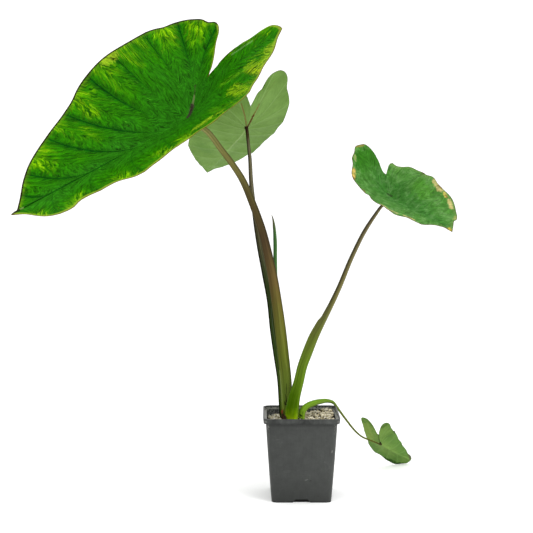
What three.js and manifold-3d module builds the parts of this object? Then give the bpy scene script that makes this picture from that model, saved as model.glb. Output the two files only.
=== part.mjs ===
// A young elephant ear plant in a square nursery pot. Millimetres, +Z up.
// The origin is the middle of the pot's underside, on the surface it stands on.
// -Y is the front, +X is the right.
import * as THREE from 'three';
import { mergeVertices } from 'three/addons/utils/BufferGeometryUtils.js';
import Module from 'manifold-3d';

const wasm = await Module();
wasm.setup();

// Driving dimensions: pot
const POT_HEIGHT = 100;
const RIM_WIDTH = 90;
const BODY_TOP_WIDTH = 83.6;
const BOTTOM_WIDTH = 70;
const SIDE_BOW = 0.6;
const LIP_HEIGHT = 6.2;
const WALL = 1.3;
const LIP_WALL = 1.6;
const LEDGE_DROP = 3.6;
const CORNER_RADIUS = 7;
const CORNER_STEPS = 4;
const EDGE_ROUND = 0.5;
const FLOOR_TOP = 5.6;
const FLOOR_UNDERSIDE = 4;
const NOTCH_BASE = 21;
const NOTCH_TOP = 14;
const NOTCH_DEPTH = 21;
const FOOT_WIDTH = 13;
const CENTRE_PAD_RADIUS = 10;
const DRAIN_RADIUS = 3.2;
const DRAIN_OFFSET = 20;

// Driving dimensions: fill
const GAP = 0.3;
const MIX_TOP = 87.5;
const GRIT_LEVEL = 93.3;
const GRIT_SLOPE = 0.06;
const GRIT_BUMP = 0.7;
const GRIT_CELLS = 12;
const CORM_TOP = 82;
const CORM_CENTRE = [-11, 4];
const CORM_PROFILE = [
  [0, 50], [7, 51], [13, 56], [16.5, 64], [17.5, 72], [17, 78], [15.5, CORM_TOP], [0, CORM_TOP],
];

// Driving dimensions: leaves
const BLADE_THICKNESS = 1;
const OUTLINE_STEPS = 2;
const BLADE_ROWS = 3;
const STATION_STEP = 3;
const BEND_REACH = 0.32;
const BEND_CENTRE = -0.07;
const CURL_REACH = 0.55;
const LOBE_START = 0.28;
const LOBE_END = 0.43;
const FOOT_POWER = 1.5;
const STEM_SIDES = 10;
const STEM_STEP = 12;
const STEM_START = CORM_TOP + 2 * GAP;
const STEM_LEAD = 3.2;
const SHEATH_SIDE_GAP = 3;

// Each blade is a flat leaf outline laid on a curved surface. u runs along the midrib from the
// stem's junction to the tip, v runs out to the side. Angles are in degrees:
// heading and slope aim the midrib, roll turns the blade about it, arch bends the front part down,
// junctionBend and junctionTurn bend the blade where the stem joins it,
// fold is each half's rise from the midrib at [lobes, junction, tip] and curl bends each half.
// BEND_REACH and BEND_CENTRE say, as shares of the blade's length, how far the junction's bend
// reaches and where its middle lies, and CURL_REACH over what width a half curls.
const LEAVES = [
  {
    name: 'leaf_1_blade', colour: 0x3f8a1e, junction: [-128, -46, 451],
    heading: 228.2, slope: -40.4, roll: -31.2, arch: 5, sideways: -6.5, twist: -0.6,
    junctionBend: -46.1, junctionTurn: -26.6, junctionTwist: 1.3, length: 254, lobes: 141,
    foldLeft: [22.4, 38.7, 18.2], foldRight: [19.7, 39.7, 17.1], curl: [9.4, 12.9],
    left: [[-52, 0], [-79, 23], [-101, 58], [-105, 91], [-75, 92], [-36, 93], [5, 98], [38, 104],
      [70, 90], [104, 80], [141, 71], [178, 54], [205, 46], [235, 40], [254, 0]],
    right: [[-52, 0], [-100, 3], [-120, 14], [-113, 37], [-98, 63], [-73, 90], [-30, 102], [25, 104],
      [67, 101], [105, 88], [132, 74], [166, 58], [210, 38], [231, 20], [254, 0]],
  },
  {
    name: 'leaf_2_blade', colour: 0x7ba05e, junction: [-65, 25, 441],
    heading: 110.4, slope: -31.8, roll: 3.7, arch: -5.2, sideways: -4.3, twist: 3.4,
    junctionBend: -36.1, junctionTurn: 19.4, junctionTwist: -0.2, length: 150, lobes: 74,
    foldLeft: [13.7, 18, 9.7], foldRight: [13.7, 18, 9.7], curl: [-0.8, -0.8],
    left: [[-32, 0], [-53, 10], [-67, 27], [-65, 45], [-45, 50], [-24, 52], [-3, 53], [18, 53], [39, 52],
      [60, 51], [80, 48], [99, 38], [116, 26], [133, 12], [150, 0]],
    right: [[-32, 0], [-51, 13], [-68, 27], [-67, 45], [-46, 49], [-26, 52], [-5, 53], [16, 53], [37, 52],
      [57, 49], [77, 41], [95, 32], [114, 23], [133, 13], [150, 0]],
  },
  {
    name: 'leaf_3_blade', colour: 0x3f7d35, junction: [103, -15, 358],
    heading: -63.7, slope: -33.6, roll: 12.4, arch: 7.9, sideways: -3.6, twist: -0.8,
    junctionBend: -57.3, junctionTurn: 36.7, junctionTwist: 6.7, length: 116, lobes: 68,
    foldLeft: [-5.3, 32.5, 7.8], foldRight: [7.9, 24, 9.4], curl: [9.5, 2.7],
    left: [[-31, 0], [-46, 8], [-47, 22], [-44, 41], [-31, 48], [-12, 50], [8, 48], [29, 47], [48, 43],
      [68, 38], [83, 30], [97, 20], [105, 11], [112, 3], [116, 0]],
    right: [[-31, 0], [-45, 12], [-58, 24], [-57, 40], [-41, 47], [-22, 49], [-8, 47], [9, 40], [27, 45],
      [44, 45], [60, 40], [75, 30], [89, 21], [98, 7], [116, 0]],
  },
  {
    name: 'leaf_4_blade', colour: 0x5f9040, junction: [108, 116, 37.2],
    heading: 48.3, slope: -48.8, roll: -52.9, arch: -0.2, sideways: -8.1, twist: -7.2,
    junctionBend: -20.7, junctionTurn: -62.7, junctionTwist: -10.1, length: 66, lobes: 36,
    foldLeft: [30, 56.5, 16.4], foldRight: [-2.1, 13.2, 10.5], curl: [-2.5, 6.9],
    left: [[-13, 0], [-19, 8], [-25, 16], [-27, 26], [-20, 27], [-10, 23], [-1, 21], [9, 24], [18, 25],
      [27, 23], [36, 19], [46, 18], [55, 14], [63, 9], [66, 0]],
    right: [[-13, 0], [-22, 2], [-30, 6], [-28, 12], [-21, 18], [-12, 22], [0, 23], [10, 23], [19, 21],
      [28, 18], [37, 15], [46, 12], [54, 9], [61, 6], [66, 0]],
  },
];

// A stem runs through its points. Each point is [x, y, z, half width, half depth].
const STEMS = [
  {
    name: 'leaf_1_stem', colour: 0x6b6a35, blade: 0, endRadius: 3,
    points: [[-16, 7, STEM_START, 6.2, 5.6], [-16.6, 6.2, 104, 6.6, 6], [-17.8, 6, 134, 6.6, 6],
      [-21.4, 5.5, 170, 6.6, 6], [-24.5, 4.6, 198, 6.4, 5.8], [-29.3, 3, 234, 6, 5.4],
      [-33.9, 0, 263, 5.6, 5.2], [-38.9, -4, 287, 5.3, 5], [-45.4, -9.5, 314, 4.7, 4.7],
      [-57.9, -16, 350, 4, 4], [-69.8, -22, 377.6, 3.7, 3.7], [-81.3, -27, 395.3, 3.5, 3.5],
      [-92.6, -31, 410, 3.3, 3.3], [-109.6, -35.4, 431.6, 3.1, 3.1]],
  },
  {
    name: 'leaf_2_stem', colour: 0x4f5a32, blade: 1, endRadius: 1.9,
    points: [[-20.5, 15.5, STEM_START, 2.8, 2.8], [-21.8, 15.4, 101, 3, 3], [-24.3, 15.3, 139, 3.1, 3.1],
      [-27.9, 15.3, 163, 3.1, 3.1], [-32.8, 15.5, 197, 3, 3], [-36.8, 16, 233, 2.8, 2.8],
      [-42.4, 16.6, 262, 2.7, 2.7], [-49.2, 17, 297, 2.5, 2.5], [-55.2, 17.6, 338, 2.4, 2.4],
      [-59.2, 18.2, 376, 2.1, 2.1], [-60.7, 19.2, 404, 2, 2], [-62.6, 21.4, 420, 1.9, 1.9]],
  },
  {
    name: 'leaf_3_stem', colour: 0x4f7d22, blade: 2, endRadius: 1.5,
    points: [[-11, -7.4, STEM_START, 6.2, 4.8], [-11, -7.6, 95, 7.6, 5.6], [-10.2, -8, 105, 7.9, 5.8],
      [-7.7, -8, 120, 6.9, 5.4], [-3.6, -8, 135, 6, 5.2], [1.7, -8.5, 157, 5.6, 4.8],
      [7.8, -9, 173, 5.6, 4.6], [14.9, -9, 191, 5.3, 4.2], [23, -9.5, 209, 3.6, 3.2],
      [34.6, -10, 230, 2.6, 2.6], [43.3, -10, 248, 2.4, 2.4], [58.7, -10.5, 286, 2.1, 2.1],
      [76.2, -10.5, 319, 1.9, 1.9], [86, -10, 334, 1.7, 1.7]],
  },
  {
    name: 'leaf_4_stem', colour: 0x7d9a35, blade: 3, endRadius: 0.9,
    points: [[1.6, -1, STEM_START, 2.8, 2.8], [1.8, -1, 93.6, 3.3, 3.3], [2.6, 0.4, 101, 3.2, 3.2],
      [6.1, 5, 106.4, 2.9, 2.9], [13.9, 13, 109.2, 2.5, 2.5], [24, 19.6, 110, 2.2, 2.2],
      [34.3, 27.5, 108.6, 2, 2], [40.6, 36.4, 105.2, 1.8, 1.8], [43.1, 43.4, 102.3, 1.6, 1.6],
      [45.8, 47.6, 98, 1.6, 1.6], [52.2, 53, 88.6, 1.4, 1.4], [59.8, 60, 77.7, 1.3, 1.3],
      [69.3, 69, 64.7, 1.2, 1.2], [79.8, 80, 53.6, 1.1, 1.1], [93.1, 94, 45.3, 1, 1],
      [100.9, 104, 40.4, 0.9, 0.9]],
  },
  {
    name: 'new_leaf_stem', colour: 0x5f8a3a,
    points: [[-14, 17.4, STEM_START, 2.4, 2.4], [-14.6, 17.2, 106, 2.5, 2.5], [-17, 16.4, 124, 2.5, 2.5],
      [-21, 15, 161, 2.4, 2.4], [-25, 13.6, 197, 2.3, 2.3], [-28.3, 12, 233, 2.2, 2.2]],
  },
  {
    name: 'new_leaf_roll', colour: 0x3f7a35,
    points: [[-28.36, 11.96, 233.6, 2.2, 2.2], [-30, 10.6, 258, 2.5, 2.5], [-30.7, 10, 280, 2.5, 2.5],
      [-31.1, 9.6, 305, 2.2, 2.2], [-32.2, 9, 322, 1.3, 1.3], [-34.8, 8.6, 334, 0.4, 0.4]],
  },
];

// Dry sheath remains: thin curved flakes round a stem's foot. Angles in degrees from +X.
const SHEATHS = [
  {
    name: 'dry_sheath_outer', colour: 0x8a4a22, centre: [-16.4, 6.4], from: 196, to: 244,
    inner: 7.3, outer: 8, base: 84, tops: [98, 103, 105, 101, 97],
  },
  {
    name: 'dry_sheath_inner', colour: 0x6b2f1c, centre: [-10.6, -7.4], from: 170, to: 236,
    inner: 8.5, outer: 9.2, base: 84, tops: [96.5, 98, 97, 95.5, 95],
  },
];

const rad = THREE.MathUtils.degToRad;

// Closed mesh helpers
function closedGeometry(positions, triangles) {
  const used = triangles.filter(([a, b, c]) => a !== b && b !== c && c !== a);
  const geometry = new THREE.BufferGeometry();
  geometry.setAttribute('position', new THREE.Float32BufferAttribute(positions.flat(), 3));
  geometry.setIndex(used.flat());
  return geometry;
}

function loft(rings) {
  const sides = rings[0].length;
  const positions = rings.flat();
  const first = positions.push(centreOf(rings[0])) - 1;
  const last = positions.push(centreOf(rings[rings.length - 1])) - 1;
  const triangles = [];
  for (let ring = 0; ring < rings.length - 1; ring += 1) {
    for (let side = 0; side < sides; side += 1) {
      const next = (side + 1) % sides;
      const a = ring * sides + side;
      const b = ring * sides + next;
      triangles.push([a, b, b + sides], [a, b + sides, a + sides]);
    }
  }
  const top = (rings.length - 1) * sides;
  for (let side = 0; side < sides; side += 1) {
    const next = (side + 1) % sides;
    triangles.push([first, next, side], [last, top + side, top + next]);
  }
  return closedGeometry(positions, triangles);
}

function centreOf(ring) {
  return [0, 1, 2].map((axis) => ring.reduce((sum, point) => sum + point[axis], 0) / ring.length);
}

function toSolid(geometry) {
  const bare = geometry.clone();
  bare.deleteAttribute('normal');
  bare.deleteAttribute('uv');
  const merged = mergeVertices(bare, 1e-4);
  const mesh = new wasm.Mesh({
    numProp: 3,
    vertProperties: new Float32Array(merged.attributes.position.array),
    triVerts: new Uint32Array(merged.index.array),
  });
  return new wasm.Manifold(mesh);
}

function toGeometry(solid) {
  const mesh = solid.getMesh();
  const geometry = new THREE.BufferGeometry();
  geometry.setAttribute('position', new THREE.BufferAttribute(new Float32Array(mesh.vertProperties), 3));
  geometry.setIndex(new THREE.BufferAttribute(new Uint32Array(mesh.triVerts), 1));
  return geometry;
}

function named(name, geometry, colour, roughness) {
  const flat = geometry.index ? geometry.toNonIndexed() : geometry;
  flat.computeVertexNormals();
  const material = new THREE.MeshStandardMaterial({ color: colour, roughness, metalness: 0 });
  const mesh = new THREE.Mesh(flat, material);
  mesh.name = name;
  return mesh;
}

// Pot
function roundedSquare(width, radius, z) {
  const points = [];
  const reach = width / 2 - radius;
  for (let corner = 0; corner < 4; corner += 1) {
    const cx = reach * (corner === 0 || corner === 3 ? 1 : -1);
    const cy = reach * (corner < 2 ? 1 : -1);
    for (let step = 0; step <= CORNER_STEPS; step += 1) {
      const angle = rad(90 * (corner + step / CORNER_STEPS));
      points.push([cx + radius * Math.cos(angle), cy + radius * Math.sin(angle), z]);
    }
  }
  return points;
}

function squareLoft(levels) {
  return loft(levels.map(([width, z, radius = CORNER_RADIUS]) => roundedSquare(width, radius, z)));
}

function bodyWidth(z) {
  const height = POT_HEIGHT - LIP_HEIGHT;
  const share = z / height;
  return BOTTOM_WIDTH + (BODY_TOP_WIDTH - BOTTOM_WIDTH) * share + SIDE_BOW * 4 * share * (1 - share);
}

function innerWidth(z) {
  return bodyWidth(z) - 2 * WALL;
}

function block(width, depth, height, x, y, z) {
  return new THREE.BoxGeometry(width, depth, height).translate(x, y, z + height / 2);
}

function drain(x, y) {
  const hole = new THREE.CylinderGeometry(DRAIN_RADIUS, DRAIN_RADIUS, FLOOR_TOP * 2, 16);
  return hole.rotateX(Math.PI / 2).translate(x, y, FLOOR_TOP);
}

function notchCutter(turn) {
  const outline = new THREE.Shape([
    new THREE.Vector2(-NOTCH_BASE / 2 - 1, -1),
    new THREE.Vector2(NOTCH_BASE / 2 + 1, -1),
    new THREE.Vector2(NOTCH_TOP / 2, FLOOR_UNDERSIDE),
    new THREE.Vector2(-NOTCH_TOP / 2, FLOOR_UNDERSIDE),
  ]);
  const reach = BOTTOM_WIDTH / 2;
  const cutter = new THREE.ExtrudeGeometry(outline, { depth: reach, bevelEnabled: false });
  return cutter.rotateX(Math.PI / 2).translate(0, -(BOTTOM_WIDTH / 2 - NOTCH_DEPTH), 0).rotateZ(turn);
}

function potSolid() {
  const shoulder = POT_HEIGHT - LIP_HEIGHT;
  const outer = squareLoft([
    ...[0, 0.25, 0.5, 0.75, 1].map((share) => [bodyWidth(shoulder * share), shoulder * share]),
    [RIM_WIDTH, shoulder + EDGE_ROUND],
    [RIM_WIDTH, POT_HEIGHT - EDGE_ROUND],
    [RIM_WIDTH - 2 * EDGE_ROUND, POT_HEIGHT],
  ]);
  const ledge = POT_HEIGHT - LEDGE_DROP;
  const cavity = squareLoft([
    [innerWidth(FLOOR_TOP), FLOOR_TOP],
    [innerWidth(shoulder * 0.5), shoulder * 0.5],
    [innerWidth(ledge), ledge],
    [RIM_WIDTH - 2 * LIP_WALL, ledge + EDGE_ROUND],
    [RIM_WIDTH - 2 * LIP_WALL, POT_HEIGHT + 1],
  ]);
  const recessWidth = BOTTOM_WIDTH - 2 * WALL;
  let recess = toSolid(squareLoft([[recessWidth, -1], [recessWidth, FLOOR_UNDERSIDE]]));
  const pad = new THREE.CylinderGeometry(CENTRE_PAD_RADIUS, CENTRE_PAD_RADIUS, 2 * FLOOR_TOP, 32);
  recess = recess.subtract(toSolid(pad.rotateX(Math.PI / 2)));
  const footCentre = (BOTTOM_WIDTH - FOOT_WIDTH) / 2;
  for (const x of [-footCentre, footCentre]) {
    for (const y of [-footCentre, footCentre]) {
      recess = recess.subtract(toSolid(block(FOOT_WIDTH, FOOT_WIDTH, 2 * FLOOR_TOP, x, y, -FLOOR_TOP)));
    }
  }
  let pot = toSolid(outer).subtract(toSolid(cavity)).subtract(recess);
  for (let side = 0; side < 4; side += 1) {
    const turn = (side * Math.PI) / 2;
    pot = pot.subtract(toSolid(notchCutter(turn)));
    pot = pot.subtract(toSolid(drain(DRAIN_OFFSET * Math.cos(turn), DRAIN_OFFSET * Math.sin(turn))));
  }
  return pot;
}

// Fill
function bump(column, row) {
  const wave = Math.sin(column * column * 1.7 + row * 2.9);
  return GRIT_BUMP * wave * Math.cos(row * row * 1.3 + column * 0.7);
}

function gritBlock() {
  const half = innerWidth(MIX_TOP) / 2;
  const cell = (2 * half) / GRIT_CELLS;
  const top = [];
  const bottom = [];
  for (let row = 0; row <= GRIT_CELLS; row += 1) {
    for (let column = 0; column <= GRIT_CELLS; column += 1) {
      const x = -half + column * cell;
      const y = -half + row * cell;
      top.push([x, y, GRIT_LEVEL + GRIT_SLOPE * x + bump(column, row)]);
      bottom.push([x, y, MIX_TOP]);
    }
  }
  const line = GRIT_CELLS + 1;
  const under = line * line;
  const triangles = [];
  for (let row = 0; row < GRIT_CELLS; row += 1) {
    for (let column = 0; column < GRIT_CELLS; column += 1) {
      const a = row * line + column;
      triangles.push([a, a + 1, a + line + 1], [a, a + line + 1, a + line]);
      const b = under + a;
      triangles.push([b, b + line + 1, b + 1], [b, b + line, b + line + 1]);
    }
  }
  for (let step = 0; step < GRIT_CELLS; step += 1) {
    const edges = [
      [step, step + 1],
      [step * line + GRIT_CELLS, (step + 1) * line + GRIT_CELLS],
      [GRIT_CELLS * line + step + 1, GRIT_CELLS * line + step],
      [(step + 1) * line, step * line],
    ];
    for (const [a, b] of edges) {
      triangles.push([a, under + a, under + b], [a, under + b, b]);
    }
  }
  return closedGeometry([...top, ...bottom], triangles);
}

function cormGeometry(grow) {
  const profile = CORM_PROFILE.map(([radius, z], index) => {
    const onAxis = radius === 0;
    const end = index === 0 ? -grow : grow;
    return new THREE.Vector2(onAxis ? 0 : radius + grow, z + (index === 0 || z === CORM_TOP ? end : 0));
  });
  const [x, y] = CORM_CENTRE;
  return new THREE.LatheGeometry(profile, 24).rotateX(Math.PI / 2).translate(x, y, 0);
}

// Stems
function stemCurve(points) {
  const places = points.map(([x, y, z]) => new THREE.Vector3(x, y, z));
  return new THREE.CatmullRomCurve3(places, false, 'centripetal');
}

function sizeAlong(points, lengths, distance, item) {
  let index = 0;
  while (index < points.length - 2 && lengths[index + 1] < distance) index += 1;
  const share = (distance - lengths[index]) / (lengths[index + 1] - lengths[index]);
  const held = THREE.MathUtils.clamp(share, 0, 1);
  return THREE.MathUtils.lerp(points[index][item], points[index + 1][item], held);
}

function stemGeometry(points, grow = 0) {
  const curve = stemCurve(points);
  const total = curve.getLength();
  const lengths = [0];
  for (let index = 1; index < points.length; index += 1) {
    const [a, b] = [points[index - 1], points[index]];
    lengths.push(lengths[index - 1] + Math.hypot(b[0] - a[0], b[1] - a[1], b[2] - a[2]));
  }
  const scale = lengths[lengths.length - 1] / total;
  const steps = Math.round(total / STEM_STEP);
  const rings = [];
  const side = new THREE.Vector3(1, 0, 0);
  for (let step = 0; step <= steps; step += 1) {
    const at = step / steps;
    const centre = curve.getPointAt(at);
    const tangent = curve.getTangentAt(at);
    side.addScaledVector(tangent, -side.dot(tangent)).normalize();
    const across = new THREE.Vector3().crossVectors(tangent, side);
    const halfWidth = sizeAlong(points, lengths, at * total * scale, 3) + grow;
    const halfDepth = sizeAlong(points, lengths, at * total * scale, 4) + grow;
    if (grow > 0 && step === 0) centre.addScaledVector(tangent, -2 * grow);
    const ring = [];
    for (let corner = 0; corner < STEM_SIDES; corner += 1) {
      const angle = (2 * Math.PI * corner) / STEM_SIDES;
      const point = centre.clone()
        .addScaledVector(side, halfWidth * Math.cos(angle))
        .addScaledVector(across, halfDepth * Math.sin(angle));
      ring.push(point.toArray());
    }
    rings.push(ring);
  }
  return loft(rings);
}

// Blades
function ease(t) {
  const x = THREE.MathUtils.clamp(t, 0, 1);
  return x * x * (3 - 2 * x);
}

function junctionShare(leaf, u) {
  const half = BEND_REACH * leaf.length;
  const t = (u - BEND_CENTRE * leaf.length) / half;
  return Math.abs(t) < 1 ? (1 + Math.cos(Math.PI * t)) / (2 * half) : 0;
}

function turned(vector, axis, angle) {
  return vector.clone().applyAxisAngle(axis, angle);
}

function midrib(leaf) {
  const heading = rad(leaf.heading);
  const slope = rad(leaf.slope);
  const level = new THREE.Vector3(Math.cos(heading), Math.sin(heading), 0);
  const along = level.clone().multiplyScalar(Math.cos(slope)).setZ(Math.sin(slope));
  const across = turned(new THREE.Vector3(-level.y, level.x, 0), along, rad(leaf.roll));
  const up = new THREE.Vector3().crossVectors(along, across);
  const start = { u: 0, centre: new THREE.Vector3(...leaf.junction), along, across, up };
  const march = (sign, reach) => {
    const stations = [start];
    const steps = Math.ceil(reach / STATION_STEP);
    const step = reach / steps;
    for (let index = 0; index < steps; index += 1) {
      const last = stations[index];
      const middle = sign * (index + 0.5) * step;
      const bend = junctionShare(leaf, middle) * step * sign;
      const front = sign > 0 ? step / leaf.length : 0;
      const droop = rad(leaf.arch * front + leaf.junctionBend * bend);
      const turn = rad(leaf.sideways * front + leaf.junctionTurn * bend);
      const twist = rad(leaf.twist * front + leaf.junctionTwist * bend);
      const halfway = turnFrame(last, droop / 2, turn / 2, twist / 2);
      const centre = last.centre.clone().addScaledVector(halfway.along, sign * step);
      const next = turnFrame(halfway, droop / 2, turn / 2, twist / 2);
      stations.push({ u: sign * (index + 1) * step, centre, ...next });
    }
    return stations;
  };
  const back = march(-1, leaf.lobes).slice(1).reverse();
  return [...back, ...march(1, leaf.length)];
}

function turnFrame(frame, droop, turn, twist) {
  let { along, across, up } = frame;
  along = turned(along, across, droop);
  up = turned(up, across, droop);
  along = turned(along, up, turn);
  across = turned(across, up, turn);
  across = turned(across, along, twist);
  up = turned(up, along, twist);
  return { along, across, up };
}

function station(stations, u) {
  let index = 0;
  while (index < stations.length - 2 && stations[index + 1].u < u) index += 1;
  const [a, b] = [stations[index], stations[index + 1]];
  const share = (u - a.u) / (b.u - a.u);
  const mix = (key) => a[key].clone().lerp(b[key], share);
  return { centre: mix('centre'), across: mix('across').normalize(), up: mix('up').normalize() };
}

function foldAngle([back, middle, front], leaf, u) {
  const toBack = ease(-u / (CURL_REACH * leaf.length));
  const toFront = ease(u / leaf.length);
  return rad(middle + (front - middle) * toFront + (back - middle) * toBack);
}

function bladePoint(leaf, stations, u, v, side, offset) {
  const { centre, across, up } = station(stations, u);
  const fold = foldAngle(side > 0 ? leaf.foldLeft : leaf.foldRight, leaf, u);
  const bend = rad(leaf.curl[side > 0 ? 0 : 1]) / (CURL_REACH * leaf.length);
  const half = (bend * v) / 2;
  const reach = Math.abs(half) < 1e-6 ? v : (v * Math.sin(half)) / half;
  const point = centre.clone()
    .addScaledVector(across, side * reach * Math.cos(fold + half))
    .addScaledVector(up, reach * Math.sin(fold + half));
  if (v === 0) {
    return point.addScaledVector(up, offset / Math.cos(fold)).toArray();
  }
  const angle = fold + bend * v;
  return point
    .addScaledVector(up, offset * Math.cos(angle))
    .addScaledVector(across, -side * offset * Math.sin(angle))
    .toArray();
}

// The foot of the vein that ends at an outline point: it moves along the midrib from the sinus to
// the junction, rests there for the lobe, and goes on to the tip.
function veinFoot(leaf, sinus, share) {
  if (share < LOBE_START) return sinus * (1 - share / LOBE_START);
  if (share < LOBE_END) return 0;
  return leaf.length * ((share - LOBE_END) / (1 - LOBE_END)) ** FOOT_POWER;
}

function outlinePoints(points) {
  const curve = new THREE.SplineCurve(points.map(([u, v]) => new THREE.Vector2(u, v)));
  const places = curve.getPoints((points.length - 1) * OUTLINE_STEPS);
  return places.map((place) => [place.x, Math.max(place.y, 0)]);
}

function bladeGeometry(leaf) {
  const stations = midrib(leaf);
  const positions = [];
  const known = new Map();
  const vertex = (u, v, side, offset) => {
    const seam = v < 1e-6;
    const key = [u.toFixed(3), (seam ? 0 : v * side).toFixed(3), offset].join();
    if (!known.has(key)) {
      const flatV = seam ? 0 : v;
      const both = bladePoint(leaf, stations, u, flatV, side, offset);
      const other = seam ? bladePoint(leaf, stations, u, 0, -side, offset) : both;
      known.set(key, positions.push(both.map((value, axis) => (value + other[axis]) / 2)) - 1);
    }
    return known.get(key);
  };
  const triangles = [];
  const quad = (a, b, c, d, flip) => {
    if (flip) triangles.push([a, c, b], [a, d, c]);
    else triangles.push([a, b, c], [a, c, d]);
  };
  for (const side of [1, -1]) {
    const outline = outlinePoints(side > 0 ? leaf.left : leaf.right);
    const sinus = outline[0][0];
    const grid = outline.map(([u, v], index) => {
      const foot = veinFoot(leaf, sinus, index / (outline.length - 1));
      return Array.from({ length: BLADE_ROWS + 1 }, (_, row) => {
        const share = row / BLADE_ROWS;
        return [foot + (u - foot) * share, v * share];
      });
    });
    const top = grid.map((line) => line.map(([u, v]) => vertex(u, v, side, BLADE_THICKNESS / 2)));
    const under = grid.map((line) => line.map(([u, v]) => vertex(u, v, side, -BLADE_THICKNESS / 2)));
    for (let index = 0; index < grid.length - 1; index += 1) {
      for (let row = 0; row < BLADE_ROWS; row += 1) {
        const near = index + 1;
        const out = row + 1;
        quad(top[index][row], top[near][row], top[near][out], top[index][out], side < 0);
        quad(under[index][row], under[near][row], under[near][out], under[index][out], side > 0);
      }
      const rim = BLADE_ROWS;
      quad(top[index][rim], top[index + 1][rim], under[index + 1][rim], under[index][rim], side < 0);
    }
  }
  return closedGeometry(positions, triangles);
}

function underJunction(leaf, distance) {
  const { centre, up } = station(midrib(leaf), 0);
  const fold = Math.max(foldAngle(leaf.foldLeft, leaf, 0), foldAngle(leaf.foldRight, leaf, 0));
  return centre.addScaledVector(up, -(BLADE_THICKNESS / 2 / Math.cos(fold) + distance)).toArray();
}

// Dry sheath remains
function sheathGeometry(sheath) {
  const columns = sheath.tops.length - 1;
  const corner = (index, radius, z) => {
    const angle = rad(sheath.from + ((sheath.to - sheath.from) * index) / columns);
    return [sheath.centre[0] + radius * Math.cos(angle), sheath.centre[1] + radius * Math.sin(angle), z];
  };
  const rings = sheath.tops.map((top, index) => [
    corner(index, sheath.inner, sheath.base),
    corner(index, sheath.inner, top),
    corner(index, sheath.outer, top),
    corner(index, sheath.outer, sheath.base),
  ]);
  return loft(rings);
}

// Assembly
const group = new THREE.Group();

for (const stem of STEMS) {
  if (stem.blade === undefined) continue;
  for (const distance of [STEM_LEAD * stem.endRadius, GAP]) {
    stem.points.push([...underJunction(LEAVES[stem.blade], distance), stem.endRadius, stem.endRadius]);
  }
}

const rootZone = STEMS.filter((stem) => stem.name !== 'new_leaf_roll');

function clearOfStems(solid) {
  let cleared = solid;
  for (const stem of rootZone) {
    cleared = cleared.subtract(toSolid(stemGeometry(stem.points, GAP)));
  }
  for (const sheath of SHEATHS) {
    const room = {
      ...sheath,
      inner: sheath.inner - GAP,
      outer: sheath.outer + GAP,
      from: sheath.from - SHEATH_SIDE_GAP,
      to: sheath.to + SHEATH_SIDE_GAP,
      base: sheath.base - GAP,
      tops: sheath.tops.map((top) => top + GAP),
    };
    cleared = cleared.subtract(toSolid(sheathGeometry(room)));
  }
  return cleared;
}

group.add(named('nursery_pot', toGeometry(potSolid()), 0x46464a, 0.5));

const mixBlock = squareLoft([
  [innerWidth(FLOOR_TOP + GAP) - 2 * GAP, FLOOR_TOP + GAP],
  [innerWidth(MIX_TOP / 2) - 2 * GAP, MIX_TOP / 2],
  [innerWidth(MIX_TOP) - 2 * GAP, MIX_TOP],
]);
const mix = clearOfStems(toSolid(mixBlock).subtract(toSolid(cormGeometry(2 * GAP))));
group.add(named('potting_mix', toGeometry(mix), 0x2b211a, 0.95));

const gritRoom = squareLoft([
  [innerWidth(MIX_TOP) - 2 * GAP, MIX_TOP + GAP],
  [innerWidth(POT_HEIGHT - LEDGE_DROP) - 2 * GAP, POT_HEIGHT],
]);
const grit = clearOfStems(toSolid(gritBlock()).intersect(toSolid(gritRoom)));
group.add(named('grit_top_dressing', toGeometry(grit), 0xb9ad93, 0.95));

group.add(named('corm', cormGeometry(0), 0x6a4a30, 0.9));

for (const stem of STEMS) {
  group.add(named(stem.name, stemGeometry(stem.points), stem.colour, 0.5));
}

for (const leaf of LEAVES) {
  group.add(named(leaf.name, bladeGeometry(leaf), leaf.colour, 0.5));
}

for (const sheath of SHEATHS) {
  group.add(named(sheath.name, sheathGeometry(sheath), sheath.colour, 0.9));
}

export default group;
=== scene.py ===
"""Looks of a young potted elephant ear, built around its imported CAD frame.

Shapes are worked out in millimetres, in the frame's axes, and written to meshes in metres:
the origin is the middle of the pot's underside, +Z is up and -Y is the front.
"""

import math

import bmesh
import bpy
import numpy as np
from bpy.props import FloatProperty, FloatVectorProperty, IntProperty, PointerProperty
from mathutils import Matrix, Quaternion, Vector


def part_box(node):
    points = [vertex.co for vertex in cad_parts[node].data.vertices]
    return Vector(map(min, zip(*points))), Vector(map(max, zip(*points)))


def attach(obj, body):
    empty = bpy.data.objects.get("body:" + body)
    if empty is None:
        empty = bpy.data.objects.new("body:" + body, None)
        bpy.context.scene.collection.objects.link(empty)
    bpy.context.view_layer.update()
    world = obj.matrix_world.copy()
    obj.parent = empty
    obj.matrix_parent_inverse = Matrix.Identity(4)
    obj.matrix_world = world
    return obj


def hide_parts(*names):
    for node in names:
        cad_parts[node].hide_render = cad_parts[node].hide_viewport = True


bl_info = {
    "name": "Potted Elephant Ear",
    "version": (1, 0, 0),
    "blender": (4, 5, 0),
    "location": "3D View > Sidebar > Elephant Ear",
    "description": "Builds the finished pot, grit, stems and leaf blades of a potted elephant ear",
    "category": "Object",
}

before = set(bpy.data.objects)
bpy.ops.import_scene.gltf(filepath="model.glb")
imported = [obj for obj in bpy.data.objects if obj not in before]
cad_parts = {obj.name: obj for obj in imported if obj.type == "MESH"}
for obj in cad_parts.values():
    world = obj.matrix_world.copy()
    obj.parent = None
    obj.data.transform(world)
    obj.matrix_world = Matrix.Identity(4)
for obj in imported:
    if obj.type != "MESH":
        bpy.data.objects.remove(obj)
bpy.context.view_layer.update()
POT_LOW, POT_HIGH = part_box("nursery_pot")

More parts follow.
